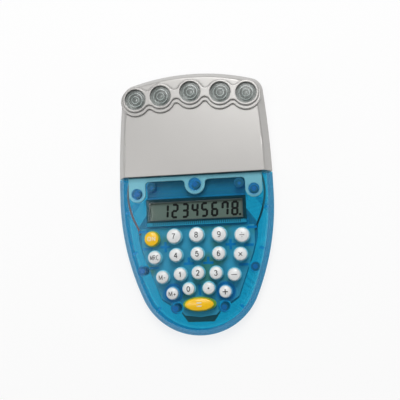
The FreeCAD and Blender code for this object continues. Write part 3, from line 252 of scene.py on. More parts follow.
@dataclass(frozen=True)
class Finish:
    """A finish with a drifting tone and a fine grain."""

    name: str
    light: Colour
    deep: Colour
    smooth: float
    rough: float
    drift_scale: float
    grain_scale: float
    bump: float
    metallic: float = 0.0
    coat: float = 0.0
    shine: float = 0.5
    soft_edge: float = 0.0
    # Painted shade: how far the ambient occlusion looks, and the dark tone it paints into grooves
    crevice: float = 0.0
    crevice_tone: Colour = (0.07, 0.075, 0.075)

    def start(self) -> tuple[Material, Bench, Node]:
        """Makes the material with its shader, tone and grain.

        Returns:
            The material, its bench and its shader.
        """
        material = bpy.data.materials.new(self.name)
        material.use_nodes = True
        bench = Bench(material.node_tree)
        shader = material.node_tree.nodes["Principled BSDF"]
        plain = {"Metallic": self.metallic, "Coat Weight": self.coat, "Specular IOR Level": self.shine}
        for socket, value in plain.items():
            shader.inputs[socket].default_value = value
        bench.join(self.darkened(bench), shader.inputs["Base Color"])
        grain = bench.add("Group", node_tree=bpy.data.node_groups[Groups.GRAIN], Scale=self.grain_scale,
                          Smooth=self.smooth, Rough=self.rough)
        bench.join(grain.outputs["Roughness"], shader.inputs["Roughness"])
        dent = bench.add("Bump", Strength=self.bump, Distance=GRAIN_DEPTH, Height=grain.outputs["Height"])
        if self.soft_edge > 0.0:
            edge = bench.add("Bevel", Radius=self.soft_edge, samples=EDGE_SAMPLES)
            bench.join(edge.outputs[0], dent.inputs["Normal"])
        bench.join(dent.outputs[0], shader.inputs["Normal"])
        return material, bench, shader

    def darkened(self, bench: Bench) -> Socket:
        """Adds the tone, with painted shade that darkens it in narrow grooves and inside corners.

        Args:
            bench: The material's bench.

        Returns:
            The tone's socket.
        """
        tone = self.tone(bench)
        # Painted shade: ambient occlusion mixes the dark tone into grooves and inside corners
        if self.crevice > 0.0:
            hollow = bench.add("AmbientOcclusion", Distance=self.crevice, samples=GROOVE_SAMPLES)
            tone = bench.mix(bench.ramp(hollow.outputs["AO"], GROOVE_SPAN), self.crevice_tone, tone)
        return tone

    def tone(self, bench: Bench) -> Socket:
        """Adds the drifting tone."""
        drift = bench.add("Group", node_tree=bpy.data.node_groups[Groups.DRIFT], Light=self.light,
                          Deep=self.deep, Scale=self.drift_scale)
        return drift.outputs["Color"]

    def material(self) -> Material:
        """Makes the finished material."""
        return self.start()[0]


@dataclass(frozen=True)
class ClearFinish(Finish):
    """A see-through moulding whose thick places are deeper in colour."""

    veil: float = 0.05
    gloss: float = 0.01
    rim: float = 0.6
    polish: float = 0.15
    tint: Colour = WHITE
    flank_tint: Colour = WHITE
    stain: Colour = (0.05, 0.80, 0.94)
    density: float = 110.0
    rib_foot: float = 0.0
    frame_foot: float = 0.0
    frame_share: float = 0.45
    # Opaque share on the rib and frame feet and the pits; the feet's tone is the thick ribs' deep blue with a
    # painted glow of the light they carry
    foot_veil: float = 0.0
    foot_tone: Colour = (0.005, 0.31, 0.62)
    pit_end: float = 0.0
    pit_tone: Colour = (0.002, 0.17, 0.50)
    bosses: tuple[tuple[float, float, float, float], ...] = ()
    boss_veil: float = 0.3
    boss_tint: Colour = (0.22, 0.52, 0.88)
    boss_edge: float = 0.25 * MM
    # Painted sheen on the slanting outer walls, standing in for the light they reflect: its share and its
    # tone
    haze: float = 0.0
    haze_tone: Colour = (0.25, 0.88, 1.0)

    def thick_places(self, bench: Bench) -> Socket:
        """Finds the solid bosses under the face.

        Each is given by its middle and radius in millimetres and its depth of tone.

        Args:
            bench: The material's bench.

        Returns:
            A mask that is as high as the tone is deep over the bosses, with soft edges.
        """
        level = bench.add("VectorMath", operation="MULTIPLY")
        bench.join(bench.place(), level.inputs[0])
        level.inputs[1].default_value = (1.0, 1.0, 0.0)
        mask = 0.0
        for x, y, radius, depth in self.bosses:
            away = bench.add("VectorMath", operation="DISTANCE")
            bench.join(level.outputs[0], away.inputs[0])
            away.inputs[1].default_value = (x * MM, y * MM, 0.0)
            span = (radius * MM + self.boss_edge, radius * MM - self.boss_edge)
            mask = bench.math("MAXIMUM", bench.ramp(away.outputs["Value"], span, depth), mask)
        return mask

    def wall_tint(self, bench: Bench) -> Socket:
        """Gives steep walls their own tint."""
        return bench.mix(bench.ramp(bench.levelness(), STEEP_SPAN), self.tint, self.flank_tint)

    def slanting_walls(self, bench: Bench) -> Socket:
        """Masks the slanting outer walls, where a painted sheen stands in for reflected light."""
        level = bench.levelness()
        return bench.math("MULTIPLY", bench.ramp(level, SLANT_SPAN), bench.ramp(level, LEAN_SPAN))

    def level_faces(self, bench: Bench, height: float) -> Socket:
        """Finds the level faces at one height inside the moulding.

        Args:
            bench: The material's bench.
            height: Their height.

        Returns:
            A mask that is one on those faces.
        """
        flat = bench.math("GREATER_THAN", bench.levelness(), LEVEL_FROM)
        away = bench.math("ABSOLUTE", bench.math("SUBTRACT", bench.along("Z"), height))
        return bench.math("MULTIPLY", flat, bench.math("LESS_THAN", away, FACE_ROOM))

    def inside(self, bench: Bench, shader: Node, clear: Node) -> Socket:
        """Colours the feet, pits and bosses that show through the face: the rib and frame feet get a painted
        glow, and the slanting walls a painted sheen.

        Args:
            bench: The material's bench.
            shader: The shader of what isn't clear.
            clear: The shader of what is clear.

        Returns:
            The share of what isn't clear.
        """
        solid = self.thick_places(bench)
        bench.join(bench.mix(solid, self.wall_tint(bench), self.boss_tint), clear.inputs["Color"])
        # Rib and frame feet: the thick ribs' deep blue with a painted glow of the light carried along them
        bars = bench.math("MULTIPLY", self.level_faces(bench, self.frame_foot), self.frame_share)
        feet = bench.math("MAXIMUM", self.level_faces(bench, self.rib_foot), bars)
        pits = self.level_faces(bench, self.pit_end)
        pits = bench.math("MAXIMUM", pits, bench.math("MULTIPLY", solid, self.boss_veil))
        # Painted sheen on the slanting walls stands in for reflected light
        sheen_walls = self.slanting_walls(bench)
        tone = bench.mix(sheen_walls, self.tone(bench), self.haze_tone)
        tone = bench.mix(pits, bench.mix(feet, tone, self.foot_tone), self.pit_tone)
        bench.join(tone, shader.inputs["Base Color"])
        extra = bench.math("MULTIPLY", bench.math("MAXIMUM", feet, pits), self.foot_veil - self.veil)
        extra = bench.math("ADD", extra, bench.math("MULTIPLY", sheen_walls, self.haze))
        return bench.math("ADD", extra, self.veil)

    def material(self) -> Material:
        """Makes the finished material.

        Returns:
            The material, which mixes clear, veiled and glossy shaders.
        """
        material, bench, shader = self.start()
        leave = material.node_tree.nodes["Material Output"]
        clear = bench.add("BsdfTransparent", Color=self.tint)
        share = self.veil
        if self.foot_veil > 0.0:
            share = self.inside(bench, shader, clear)
        elif self.flank_tint != self.tint:
            bench.join(self.wall_tint(bench), clear.inputs["Color"])
        body = bench.blend(share, clear, shader)
        facing = bench.add("LayerWeight", Blend=0.5).outputs["Facing"]
        slant = bench.math("MULTIPLY", bench.math("POWER", facing, RIM_POWER), self.rim)
        shine = bench.add("BsdfGlossy", Color=WHITE, Roughness=self.polish)
        skin = bench.blend(bench.math("ADD", slant, self.gloss), body, shine)
        bench.join(skin.outputs[0], leave.inputs["Surface"])
        if self.density > 0.0:
            soak = bench.add("VolumeAbsorption", Color=self.stain, Density=self.density)
            bench.join(soak.outputs[0], leave.inputs["Volume"])
        return material


@dataclass(frozen=True)
class PaintedFinish(Finish):
    """Paint on the outside of a moulding, with bare resin where it goes into its neighbour."""

    bare: Colour = (0.98, 0.67, 0.59)
    paint_end: float = 12.6 * MM

    def darkened(self, bench: Bench) -> Socket:
        """Adds the bare resin past the end of the paint."""
        past = bench.math("LESS_THAN", bench.along("Y"), self.paint_end)
        return bench.mix(past, super().darkened(bench), self.bare)


@dataclass(frozen=True)
class LaminateFinish(Finish):
    """A circuit board with tracks under its lacquer and a bare end."""

    track: Colour = (0.02, 0.19, 0.22)
    pitch: float = 260.0
    bare: Colour = (0.03, 0.055, 0.05)
    bare_end: float = -49.0 * MM
    track_wide: float = 0.05
    track_long: float = 1.7
    track_row: float = 0.45
    track_share: float = 0.55

    def tone(self, bench: Bench) -> Socket:
        """Adds the lacquer's tone, the tracks that show through it and the bare laminate past its end.

        Args:
            bench: The material's bench.

        Returns:
            The tone's socket.
        """
        lines = bench.add("TexBrick", Vector=bench.place(), Scale=self.pitch, Color1=self.light,
                          Color2=self.deep, Mortar=self.track, Mortar_Size=self.track_wide,
                          Brick_Width=self.track_long, Row_Height=self.track_row)
        lacquer = bench.mix(self.track_share, super().tone(bench), lines.outputs[0])
        return bench.mix(bench.math("LESS_THAN", bench.along("Y"), self.bare_end), lacquer, self.bare)


@dataclass(frozen=True)
class DisplayFinish(Finish):
    """Display glass with a dark border and fine contact lines along its lower edge."""

    border: Colour = (0.05, 0.085, 0.085)
    lines: Colour = (0.10, 0.42, 0.52)
    between: Colour = (0.08, 0.36, 0.46)
    edge_x: float = 22.5 * MM
    edge_low: float = -8.4 * MM
    edge_high: float = 0.5 * MM
    lines_high: float = -9.2 * MM
    band_scale: float = 314.0

    def tone(self, bench: Bench) -> Socket:
        """Adds the border and the contact lines to the glass.

        Args:
            bench: The material's bench.

        Returns:
            The tone's socket.
        """
        place = bench.place()
        axes = bench.add("SeparateXYZ", Vector=place).outputs
        comb = bench.add("TexWave", Vector=place, wave_type="BANDS", bands_direction="X",
                         Scale=self.band_scale)
        row = bench.mix(comb.outputs[1], self.between, self.lines)
        beside = bench.math("GREATER_THAN", bench.math("ABSOLUTE", axes["X"]), self.edge_x)
        outside = bench.math("MAXIMUM", bench.math("GREATER_THAN", axes["Y"], self.edge_high),
                             bench.math("LESS_THAN", axes["Y"], self.edge_low))
        rim = bench.mix(bench.math("LESS_THAN", axes["Y"], self.lines_high), self.border, row)
        return bench.mix(bench.math("MAXIMUM", beside, outside), super().tone(bench), rim)


@dataclass(frozen=True)
class MatFinish(Finish):
    """Milky rubber through which the board's lacquer shows in places."""

    under: Colour = (0.30, 0.35, 0.21)
    patch_scale: float = 95.0
    patch_span: tuple[float, float] = (0.56, 0.70)

    def tone(self, bench: Bench) -> Socket:
        """Adds the patches of board to the rubber's tone."""
        cloud = bench.add("TexNoise", Vector=bench.place(), Scale=self.patch_scale, Detail=1.0).outputs[0]
        return bench.mix(bench.ramp(cloud, self.patch_span), super().tone(bench), self.under)


@dataclass(frozen=True)
class CombFinish(Finish):
    """Striped connector rubber, conductor and insulator by turns."""

    band_scale: float = 198.95

    def tone(self, bench: Bench) -> Socket:
        """Adds the stripes."""
        comb = bench.add("TexWave", Vector=bench.place(), wave_type="BANDS", bands_direction="X",
                         Scale=self.band_scale)
        return bench.mix(comb.outputs[1], self.deep, self.light)


# Bosses under the shell's face, as ClearFinish reads them
PAIRED_BOSSES = ((28.2, 5.0, 2.45, 1.0), (27.0, -32.05, 2.1, 1.0), (11.55, -50.35, 2.0, 1.0),
                 (21.25, 7.9, 2.3, 1.0), (12.54, -43.1, 5.1, 0.25))
BOSSES = ((0.0, 8.6, 2.85, 1.0), *((side * x, *rest) for x, *rest in PAIRED_BOSSES for side in (-1.0, 1.0)))


# Each row starts with name, light tone, deep tone, smooth, rough, drift scale, grain scale and bump
class Slot(Enum):
    """Material slots of the record, by the piece that wears them."""

    # The clear shell has a painted glow on its rib feet and a painted sheen on its slanting walls
    BLUE_CLEAR = ClearFinish(
        "clear_blue_shell", (0.03, 0.46, 0.66), (0.02, 0.40, 0.60), 0.25, 0.4, 40.0, 2600.0, 0.03,
        veil=0.03, gloss=0.008, rim=0.28, tint=(0.73, 0.925, 0.98), flank_tint=(0.70, 0.97, 1.0), haze=0.05,
        rib_foot=6.3 * MM, frame_foot=7.15 * MM, foot_veil=0.85, pit_end=9.1 * MM, bosses=BOSSES)
    BLUE_DARK = ClearFinish(
        "clear_blue_back", (0.02, 0.38, 0.60), (0.01, 0.32, 0.54), 0.25, 0.4, 40.0, 2600.0, 0.04,
        gloss=0.005, rim=0.2, tint=(0.025, 0.46, 0.62), flank_tint=(0.03, 0.54, 0.70))
    # The silver paint gets painted shade in its grooves
    SILVER = PaintedFinish(
        "silver_paint", (0.50, 0.487, 0.47), (0.455, 0.445, 0.43), 0.30, 0.42, 30.0, 6000.0, 0.06,
        metallic=0.35, soft_edge=0.5 * MM, crevice=1.4 * MM)
    SILVER_GREY = Finish(
        "grey_silver_paint", (0.42, 0.42, 0.42), (0.37, 0.37, 0.37), 0.32, 0.45, 30.0, 6000.0, 0.07,
        metallic=0.3)
    LENS_CLEAR = ClearFinish(
        "clear_lens", (0.55, 0.62, 0.59), (0.50, 0.57, 0.54), 0.1, 0.2, 60.0, 900.0, 0.01,
        gloss=0.022, polish=0.25, stain=(0.72, 0.82, 0.78), density=60.0)
    REFLECTOR = Finish(
        "bright_reflector", (0.54, 0.56, 0.545), (0.46, 0.48, 0.465), 0.42, 0.5, 90.0, 900.0, 0.005,
        metallic=0.2)
    LED_CLEAR = ClearFinish(
        "clear_led_resin", (0.38, 0.41, 0.395), (0.32, 0.35, 0.335), 0.1, 0.2, 80.0, 1200.0, 0.01,
        veil=0.55, gloss=0.04, polish=0.25, stain=(0.8, 0.87, 0.84), density=30.0)
    BOARD_GREEN = LaminateFinish(
        "board_lacquer", (0.005, 0.20, 0.33), (0.004, 0.15, 0.25), 0.25, 0.4, 80.0, 3000.0, 0.03)
    SWITCH_BLACK = Finish(
        "black_switch_plastic", (0.03, 0.03, 0.032), (0.018, 0.018, 0.02), 0.35, 0.55, 90.0, 4500.0, 0.1)
    CELL_STEEL = Finish(
        "cell_steel", (0.66, 0.65, 0.63), (0.56, 0.55, 0.53), 0.2, 0.36, 120.0, 2500.0, 0.04, metallic=1.0)
    CONTACT_NICKEL = Finish(
        "contact_nickel", (0.62, 0.59, 0.53), (0.52, 0.49, 0.44), 0.18, 0.34, 150.0, 2500.0, 0.04,
        metallic=1.0)
    MAT_RUBBER = MatFinish(
        "key_mat_rubber", (0.21, 0.48, 0.57), (0.17, 0.41, 0.50), 0.5, 0.7, 110.0, 3000.0, 0.1)
    CHIP_EPOXY = Finish(
        "chip_epoxy", (0.02, 0.02, 0.022), (0.01, 0.01, 0.012), 0.25, 0.5, 200.0, 2200.0, 0.2)
    LCD_GLASS = DisplayFinish(
        "display_glass", (0.125, 0.180, 0.150), (0.100, 0.150, 0.128), 0.16, 0.24, 45.0, 5200.0, 0.02,
        shine=0.15)
    ZEBRA_RUBBER = CombFinish(
        "comb_rubber", (0.55, 0.56, 0.55), (0.03, 0.03, 0.035), 0.5, 0.65, 60.0, 3000.0, 0.05)
    FOAM = Finish(
        "spacer_foam", (0.10, 0.10, 0.11), (0.05, 0.05, 0.055), 0.7, 0.9, 300.0, 2600.0, 0.4)
    WIRE_RED = Finish(
        "red_wire_cover", (1.0, 0.12, 0.09), (0.94, 0.08, 0.06), 0.3, 0.45, 140.0, 3500.0, 0.05)
    WIRE_BLACK = Finish(
        "black_wire_cover", (0.025, 0.025, 0.028), (0.012, 0.012, 0.014), 0.3, 0.45, 140.0, 3500.0, 0.05)
    SCREW_STEEL = Finish(
        "screw_steel", (0.58, 0.58, 0.57), (0.42, 0.42, 0.41), 0.22, 0.4, 400.0, 4000.0, 0.08, metallic=1.0)
    KEY_WHITE = Finish(
        "white_key_plastic", (0.81, 0.82, 0.82), (0.77, 0.785, 0.785), 0.22, 0.34, 60.0, 5000.0, 0.03,
        coat=0.2)
    KEY_ORANGE = Finish(
        "orange_key_plastic", (1.0, 0.60, 0.012), (0.96, 0.55, 0.008), 0.22, 0.34, 90.0, 5000.0, 0.03,
        coat=0.2)


class Own(Enum):
    """Finishes of nodes that look different from the rest of their slot."""

    DISPLAY_WINDOW = ClearFinish(
        "clear_window", (0.55, 0.62, 0.59), (0.50, 0.57, 0.54), 0.1, 0.2, 60.0, 900.0, 0.01,
        veil=0.003, rim=0.5, polish=0.06, stain=(0.8, 0.88, 0.85), density=40.0)


class Ink(Enum):
    """Inks of the legends and of the display, and the resin of the lens rings."""

    DARK = Finish(
        "dark_legend_ink", (0.03, 0.031, 0.034), (0.018, 0.019, 0.022), 0.4, 0.55, 400.0, 9000.0, 0.05,
        shine=0.1)
    WHITE = Finish(
        "white_legend_ink", (0.93, 0.93, 0.91), (0.88, 0.88, 0.86), 0.4, 0.55, 400.0, 9000.0, 0.05)
    CONTACT = Finish(
        "display_contact", (0.012, 0.05, 0.065), (0.008, 0.035, 0.05), 0.4, 0.55, 300.0, 6000.0, 0.05)
    RING = Finish(
        "lens_ring", (0.52, 0.58, 0.56), (0.40, 0.46, 0.44), 0.15, 0.25, 300.0, 6000.0, 0.02)
    LINER = Finish(
        "display_liner_paint", (0.06, 0.085, 0.085), (0.035, 0.06, 0.06), 0.4, 0.55, 200.0, 6000.0, 0.05)
    FIGURE = Finish(
        "display_figure", (0.006, 0.008, 0.008), (0.003, 0.004, 0.004), 0.3, 0.4, 300.0, 6000.0, 0.02,
        shine=0.05)


def clear_selection() -> None:
    """Goes to object mode with nothing selected."""
    if bpy.context.mode != "OBJECT":
        bpy.ops.object.mode_set(mode="OBJECT")
    bpy.ops.object.select_all(action="DESELECT")


def choose(piece: Object) -> None:
    """Selects one object and makes it active.

    Args:
        piece: The object.
    """
    clear_selection()
    piece.select_set(True)
    bpy.context.view_layer.objects.active = piece


def dress(piece: Object, material: Material) -> None:
    """Gives a piece one material."""
    piece.data.materials.clear()
    piece.data.materials.append(material)


def shown(name: str, data: ID) -> Object:
    """Makes an object and puts it in the scene.

    Args:
        name: The object's name.
        data: Its mesh, curve, camera or lamp.

    Returns:
        The object.
    """
    piece = bpy.data.objects.new(name, data)
    bpy.context.scene.collection.objects.link(piece)
    return piece


def copied(pattern: Object, place: Matrix) -> Object:
    """Copies a piece with its own mesh.

    Args:
        pattern: The piece to copy.
        place: Where the copy goes.

    Returns:
        The copy.
    """
    piece = shown(pattern.name, pattern.data.copy())
    piece.data.transform(place)
    return piece


def joined(name: str, pieces: list[Object]) -> Object:
    """Joins pieces into one.

    Args:
        name: The name of the whole.
        pieces: The pieces to join.

    Returns:
        The whole.
    """
    choose(pieces[0])
    for piece in pieces:
        piece.select_set(True)
    bpy.ops.object.join()
    whole = bpy.context.object
    whole.name = name
    return whole


def face_outwards() -> None:
    """Turns all faces of the mesh in edit mode outwards and leaves edit mode."""
    bpy.ops.mesh.select_all(action="SELECT")
    bpy.ops.mesh.normals_make_consistent(inside=False)
    bpy.ops.object.mode_set(mode="OBJECT")


def tube(name: str, radius: float, roundness: int) -> Curve:
    """Starts a curve with a round section and closed ends.

    Args:
        name: The curve's name.
        radius: The section's radius.
        roundness: The section's bevel resolution.

    Returns:
        The curve, with no spline yet.
    """
    curve = bpy.data.curves.new(name, "CURVE")
    curve.dimensions = "3D"
    curve.bevel_depth = radius
    curve.bevel_resolution = roundness
    curve.use_fill_caps = True
    return curve


def run(curve: Curve, kind: str, points: list[Point]) -> Spline:
    """Adds a spline to a curve.

    Args:
        curve: The curve.
        kind: The spline's type.
        points: Its points.

    Returns:
        The spline.
    """
    spline = curve.splines.new(kind)
    spline.points.add(len(points) - 1)
    for point, place in zip(spline.points, points):
        point.co = (*place, 1.0)
    return spline


def lay_on(piece: Object, node: str, x: float, y: float) -> None:
    """Lays a flat piece on the crown of a node, from above.

    Args:
        piece: The piece, flat round the origin.
        node: The node that it lies on.
        x: Where its middle goes.
        y: Where its middle goes.
    """
    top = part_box(node)[1][2]
    for vertex in piece.data.vertices:
        above = Vector((vertex.co.x + x, vertex.co.y + y, top + RAY_START))
        found, spot, _, _ = frame["nodes"][node].ray_cast(above, Vector((0.0, 0.0, -1.0)))
        vertex.co = (above.x, above.y, (spot.z if found else top) + vertex.co.z)


@dataclass
class Finishes:
    """Dresses every node of the model in the finish of its slot."""

    made: dict[str, Material] = field(default_factory=dict)

    def material(self, finish: Finish) -> Material:
        """Makes a finish once.

        Args:
            finish: The finish to make.

        Returns:
            Its material.
        """
        if finish.name not in self.made:
            self.made[finish.name] = finish.material()
        return self.made[finish.name]

    def dress_nodes(self) -> None:
        """Puts each node's finish into its material slots."""
        for part in frame["record"]["subparts"]:
            own = Own.__members__.get(part["node"].upper())
            finish = (own or Slot[part["material_slot"].upper()]).value
            for place in frame["nodes"][part["node"]].material_slots:
                place.material = self.material(finish)
            log.info("node %s wears %s", part["node"], finish.name)


class Stroke:
    """Pen strokes of the lettering, on a cap height of one."""

    FEWEST_STEPS = 6
    STEP_DEGREES = 12
    STEP_LENGTH = 0.1

    @classmethod
    def arc(cls, x: float, y: float, wide: float, tall: float, start: float, stop: float) -> Line:
        """Follows an ellipse.

        Args:
            x: Middle of the ellipse.
            y: Middle of the ellipse.
            wide: Half width.
            tall: Half height.
            start: First angle in degrees.
            stop: Last angle in degrees.

        Returns:
            Points along the arc.
        """
        steps = max(cls.FEWEST_STEPS, int(abs(stop - start) / cls.STEP_DEGREES))
        turns = [math.radians(start + (stop - start) * i / steps) for i in range(steps + 1)]
        return [(x + wide * math.cos(turn), y + tall * math.sin(turn)) for turn in turns]

    @classmethod
    def stepped(cls, stroke: Line) -> Line:
        """Divides a stroke's long runs, so that it can follow a crown.

        Args:
            stroke: Corners of the stroke.

        Returns:
            The stroke in short steps.
        """
        points = [stroke[0]]
        for (x0, y0), (x1, y1) in zip(stroke, stroke[1:]):
            steps = max(1, round(math.hypot(x1 - x0, y1 - y0) / cls.STEP_LENGTH))
            points += [(x0 + (x1 - x0) * i / steps, y0 + (y1 - y0) * i / steps) for i in range(1, steps + 1)]
        return points

    @classmethod
    def six(cls) -> list[Line]:
        """Draws the six."""
        return [cls.arc(0.30, 0.31, 0.27, 0.31, 0, 360), cls.arc(0.33, 0.50, 0.30, 0.50, 185, 50)]

    @classmethod
    def glyphs(cls) -> dict[str, list[Line]]:
        """Draws every character that the keys need, with m and p for the small minus and plus.

        Returns:
            The strokes of each character.
        """
        arc = cls.arc
        stem, bar = [(0.0, 0.0), (0.0, 1.0)], [(0.0, 0.5), (0.8, 0.5)]
        return {
            "0": [arc(0.29, 0.5, 0.28, 0.5, 90, 450)],
            "1": [[(0.04, 0.74), (0.18, 0.83), (0.30, 1.0), (0.30, 0.0)]],
            "2": [arc(0.29, 0.72, 0.27, 0.28, 170, -35) + [(0.02, 0.0), (0.58, 0.0)]],
            "3": [arc(0.28, 0.76, 0.24, 0.24, 160, -80), arc(0.28, 0.27, 0.28, 0.27, 80, -160)],
            "4": [[(0.45, 0.0), (0.45, 1.0), (0.0, 0.28), (0.62, 0.28)]],
            "5": [[(0.54, 1.0), (0.13, 1.0), (0.05, 0.49)] + arc(0.28, 0.33, 0.29, 0.33, 130, -160)],
            "6": cls.six(),
            "7": [[(0.0, 1.0), (0.56, 1.0), (0.38, 0.70), (0.26, 0.36), (0.20, 0.0)]],
            "8": [arc(0.29, 0.76, 0.23, 0.24, 90, 450), arc(0.29, 0.26, 0.28, 0.26, 90, 450)],
            "9": [[(0.58 - x, 1.0 - y) for x, y in stroke] for stroke in cls.six()],
            "M": [[(0.0, 0.0), (0.0, 1.0), (0.37, 0.08), (0.74, 1.0), (0.74, 0.0)]],
            "R": [stem, [(0.0, 1.0), (0.34, 1.0)] + arc(0.36, 0.76, 0.24, 0.24, 80, -80) + [(0.0, 0.52)],
                  [(0.32, 0.52), (0.62, 0.0)]],
            "C": [arc(0.36, 0.5, 0.36, 0.5, 48, 312)],
            "O": [arc(0.40, 0.5, 0.40, 0.5, 90, 450)],
            "N": [[(0.0, 0.0), (0.0, 1.0), (0.60, 0.0), (0.60, 1.0)]],
            "+": [bar, [(0.4, 0.1), (0.4, 0.9)]],
            "-": [bar],
            "m": [[(0.0, 0.42), (0.36, 0.42)]],
            "p": [[(0.0, 0.36), (0.46, 0.36)], [(0.23, 0.13), (0.23, 0.59)]],
            "x": [[(0.0, 0.1), (0.8, 0.9)], [(0.0, 0.9), (0.8, 0.1)]],
            "/": [bar, [(0.34, 0.86), (0.46, 0.86)], [(0.34, 0.14), (0.46, 0.14)]],
            "=": [[(0.0, 0.24), (0.9, 0.24)], [(0.0, 0.76), (0.9, 0.76)]],
            ".": [[(0.0, 0.5), (0.38, 0.5)]],
        }


@dataclass(frozen=True)
class Word:
    """What one key says, with its height and pen width in millimetres."""

    signs: str
    height: float
    narrow: float = 1.0
    weight: float = 0.4


@dataclass
class Legends:
    """Printed legends on the key tops."""

    finishes: Finishes
    thickness: float = 0.1 * MM
    gap: float = 0.36
    roundness: int = 1
    merge: float = 0.002 * MM
    in_white: tuple[str, ...] = ("key_on", "key_equals")
    words: dict[str, Word] = field(default_factory=lambda: {
        "key_on": Word("ON", 2.2, 1.05, 0.28),
        **{"key_" + digit: Word(digit, 2.8, 1.0, 0.36) for digit in "789"},
        "key_divide": Word("/", 2.8, 1.15, 0.3), "key_memory_recall": Word("MRC", 2.4, 0.66, 0.26),
        **{"key_" + digit: Word(digit, 2.7) for digit in "456"}, "key_multiply": Word("x", 2.4, 1.0, 0.34),
        "key_memory_minus": Word("Mm", 2.4, 0.95, 0.3),
        **{"key_" + digit: Word(digit, 2.7) for digit in "123"},
        "key_minus": Word("-", 2.9, 1.3, 0.32), "key_memory_plus": Word("Mp", 2.4, 0.95, 0.3),
        "key_0": Word("0", 2.7), "key_point": Word(".", 2.6, 1.0, 0.72),
        "key_plus": Word("+", 3.5, 1.0, 0.46), "key_equals": Word("=", 3.3, 0.92, 0.46)})

    def build(self) -> None:
        """Prints every key's legend."""
        glyphs = Stroke.glyphs()
        for node, word in self.words.items():
            ink = Ink.WHITE if node in self.in_white else Ink.DARK
            legend = self.drawn(node.replace("key_", "legend_"), word, glyphs)
            low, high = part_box(node)
            lay_on(legend, node, (low[0] + high[0]) / 2, (low[1] + high[1]) / 2)
            dress(legend, self.finishes.material(ink.value))
            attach(legend, node + "_cap")
            log.info("legend %s on %s", legend.name, node)

    def drawn(self, name: str, word: Word, glyphs: dict[str, list[Line]]) -> Object:
        """Draws a word with a round pen and presses it flat.

        Args:
            name: The legend's name.
            word: The word to draw.
            glyphs: The strokes of each character.

        Returns:
            The legend's mesh object, lying flat round the origin.
        """
        curve = tube(name, word.weight / 2 * MM, self.roundness)
        tall = (word.height - word.weight) * MM
        across = 0.0
        for sign in word.signs:
            for stroke in map(Stroke.stepped, glyphs[sign]):
                run(curve, "POLY", [((across + x) * word.narrow * tall, y * tall, 0.0) for x, y in stroke])
            across += max(x for stroke in glyphs[sign] for x, _ in stroke) + self.gap
        choose(shown(name, curve))
        bpy.ops.object.convert(target="MESH")
        legend = bpy.context.object
        bpy.ops.object.mode_set(mode="EDIT")
        bpy.ops.mesh.select_all(action="SELECT")
        bpy.ops.transform.resize(value=(1.0, 1.0, self.thickness / (word.weight * MM)))
        bpy.ops.mesh.remove_doubles(threshold=self.merge)
        face_outwards()
        xs = [vertex.co.x for vertex in legend.data.vertices]
        ys = [vertex.co.y for vertex in legend.data.vertices]
        legend.data.transform(Matrix.Translation((-(min(xs) + max(xs)) / 2, -(min(ys) + max(ys)) / 2, 0.0)))
        return legend


@dataclass
class DisplayFigures:
    """Seven-bar figures shown on the display."""

    finishes: Finishes
    height: float = 7.15 * MM
    width: float = 3.5 * MM
    bar: float = 1.1 * MM
    gap: float = 0.05 * MM
    thickness: float = 0.04 * MM
    slant: float = 0.07
    foot_y: float = -7.5 * MM
    point_gap: float = 0.55 * MM
    centres: tuple[float, ...] = (-14.9, -10.16, -5.21, -0.47, 4.15, 9.05, 14.0, 18.7)
    bars: tuple[str, ...] = ("bc", "abged", "abgcd", "fgbc", "afgcd", "afgedc", "fabc", "abcdefg")

    def build(self) -> None:
        """Models the bars, copies them to every figure and joins the copies."""
        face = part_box("lcd_panel")[1][2]
        across = self.blank("bar_across", self.width - self.bar - self.gap)
        across.data.transform(Matrix.Rotation(math.pi / 2, 4, "Z"))
        upright = self.blank("bar_upright", self.height / 2 - self.bar / 2 - self.gap)
        x = (self.width - self.bar) / 2
        low, mid, top = self.bar / 2, self.height / 2, self.height - self.bar / 2
        places = {"a": (across, 0.0, top), "g": (across, 0.0, mid), "d": (across, 0.0, low),
                  "f": (upright, -x, (mid + top) / 2), "b": (upright, x, (mid + top) / 2),
                  "e": (upright, -x, (mid + low) / 2), "c": (upright, x, (mid + low) / 2)}
        lean = Matrix.Identity(4)
        lean[0][1] = self.slant
        copies = []
        for centre, letters in zip(self.centres, self.bars):
            spot = Matrix.Translation((centre * MM - self.slant * self.height / 2, self.foot_y, face))
            for letter in letters:
                pattern, dx, dy = places[letter]
                copies.append(copied(pattern, spot @ lean @ Matrix.Translation((dx, dy, 0.0))))
        point = self.blank("bar_point", self.bar)
        last = self.centres[-1] * MM + self.width / 2 + self.point_gap
        copies.append(copied(point, Matrix.Translation((last, self.foot_y + self.bar / 2, face))))
        for pattern in (across, upright, point):
            bpy.data.objects.remove(pattern)
        figures = joined("display_figures", copies)
        dress(figures, self.finishes.material(Ink.FIGURE.value))
        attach(figures, "case")
        log.info("display figures, %d bars", len(copies))

    def blank(self, name: str, length: float) -> Object:
        """Models one bar with pointed ends, standing along Y.

        Args:
            name: The object's name.
            length: Length between its points.

        Returns:
            The bar.
        """
        clear_selection()
        reach = self.bar / math.sqrt(3.0)
        bpy.ops.mesh.primitive_circle_add(vertices=6, radius=reach, fill_type="NGON")
        piece = bpy.context.object
        piece.name = name
        stretch = max(length / 2 - reach, 0.0)
        for vertex in piece.data.vertices:
            vertex.co.y += math.copysign(stretch, vertex.co.y)
        bpy.ops.object.mode_set(mode="EDIT")
        bpy.ops.mesh.select_all(action="SELECT")
        bpy.ops.mesh.extrude_region_move(TRANSFORM_OT_translate={"value": (0.0, 0.0, self.thickness)})
        face_outwards()
        return piece


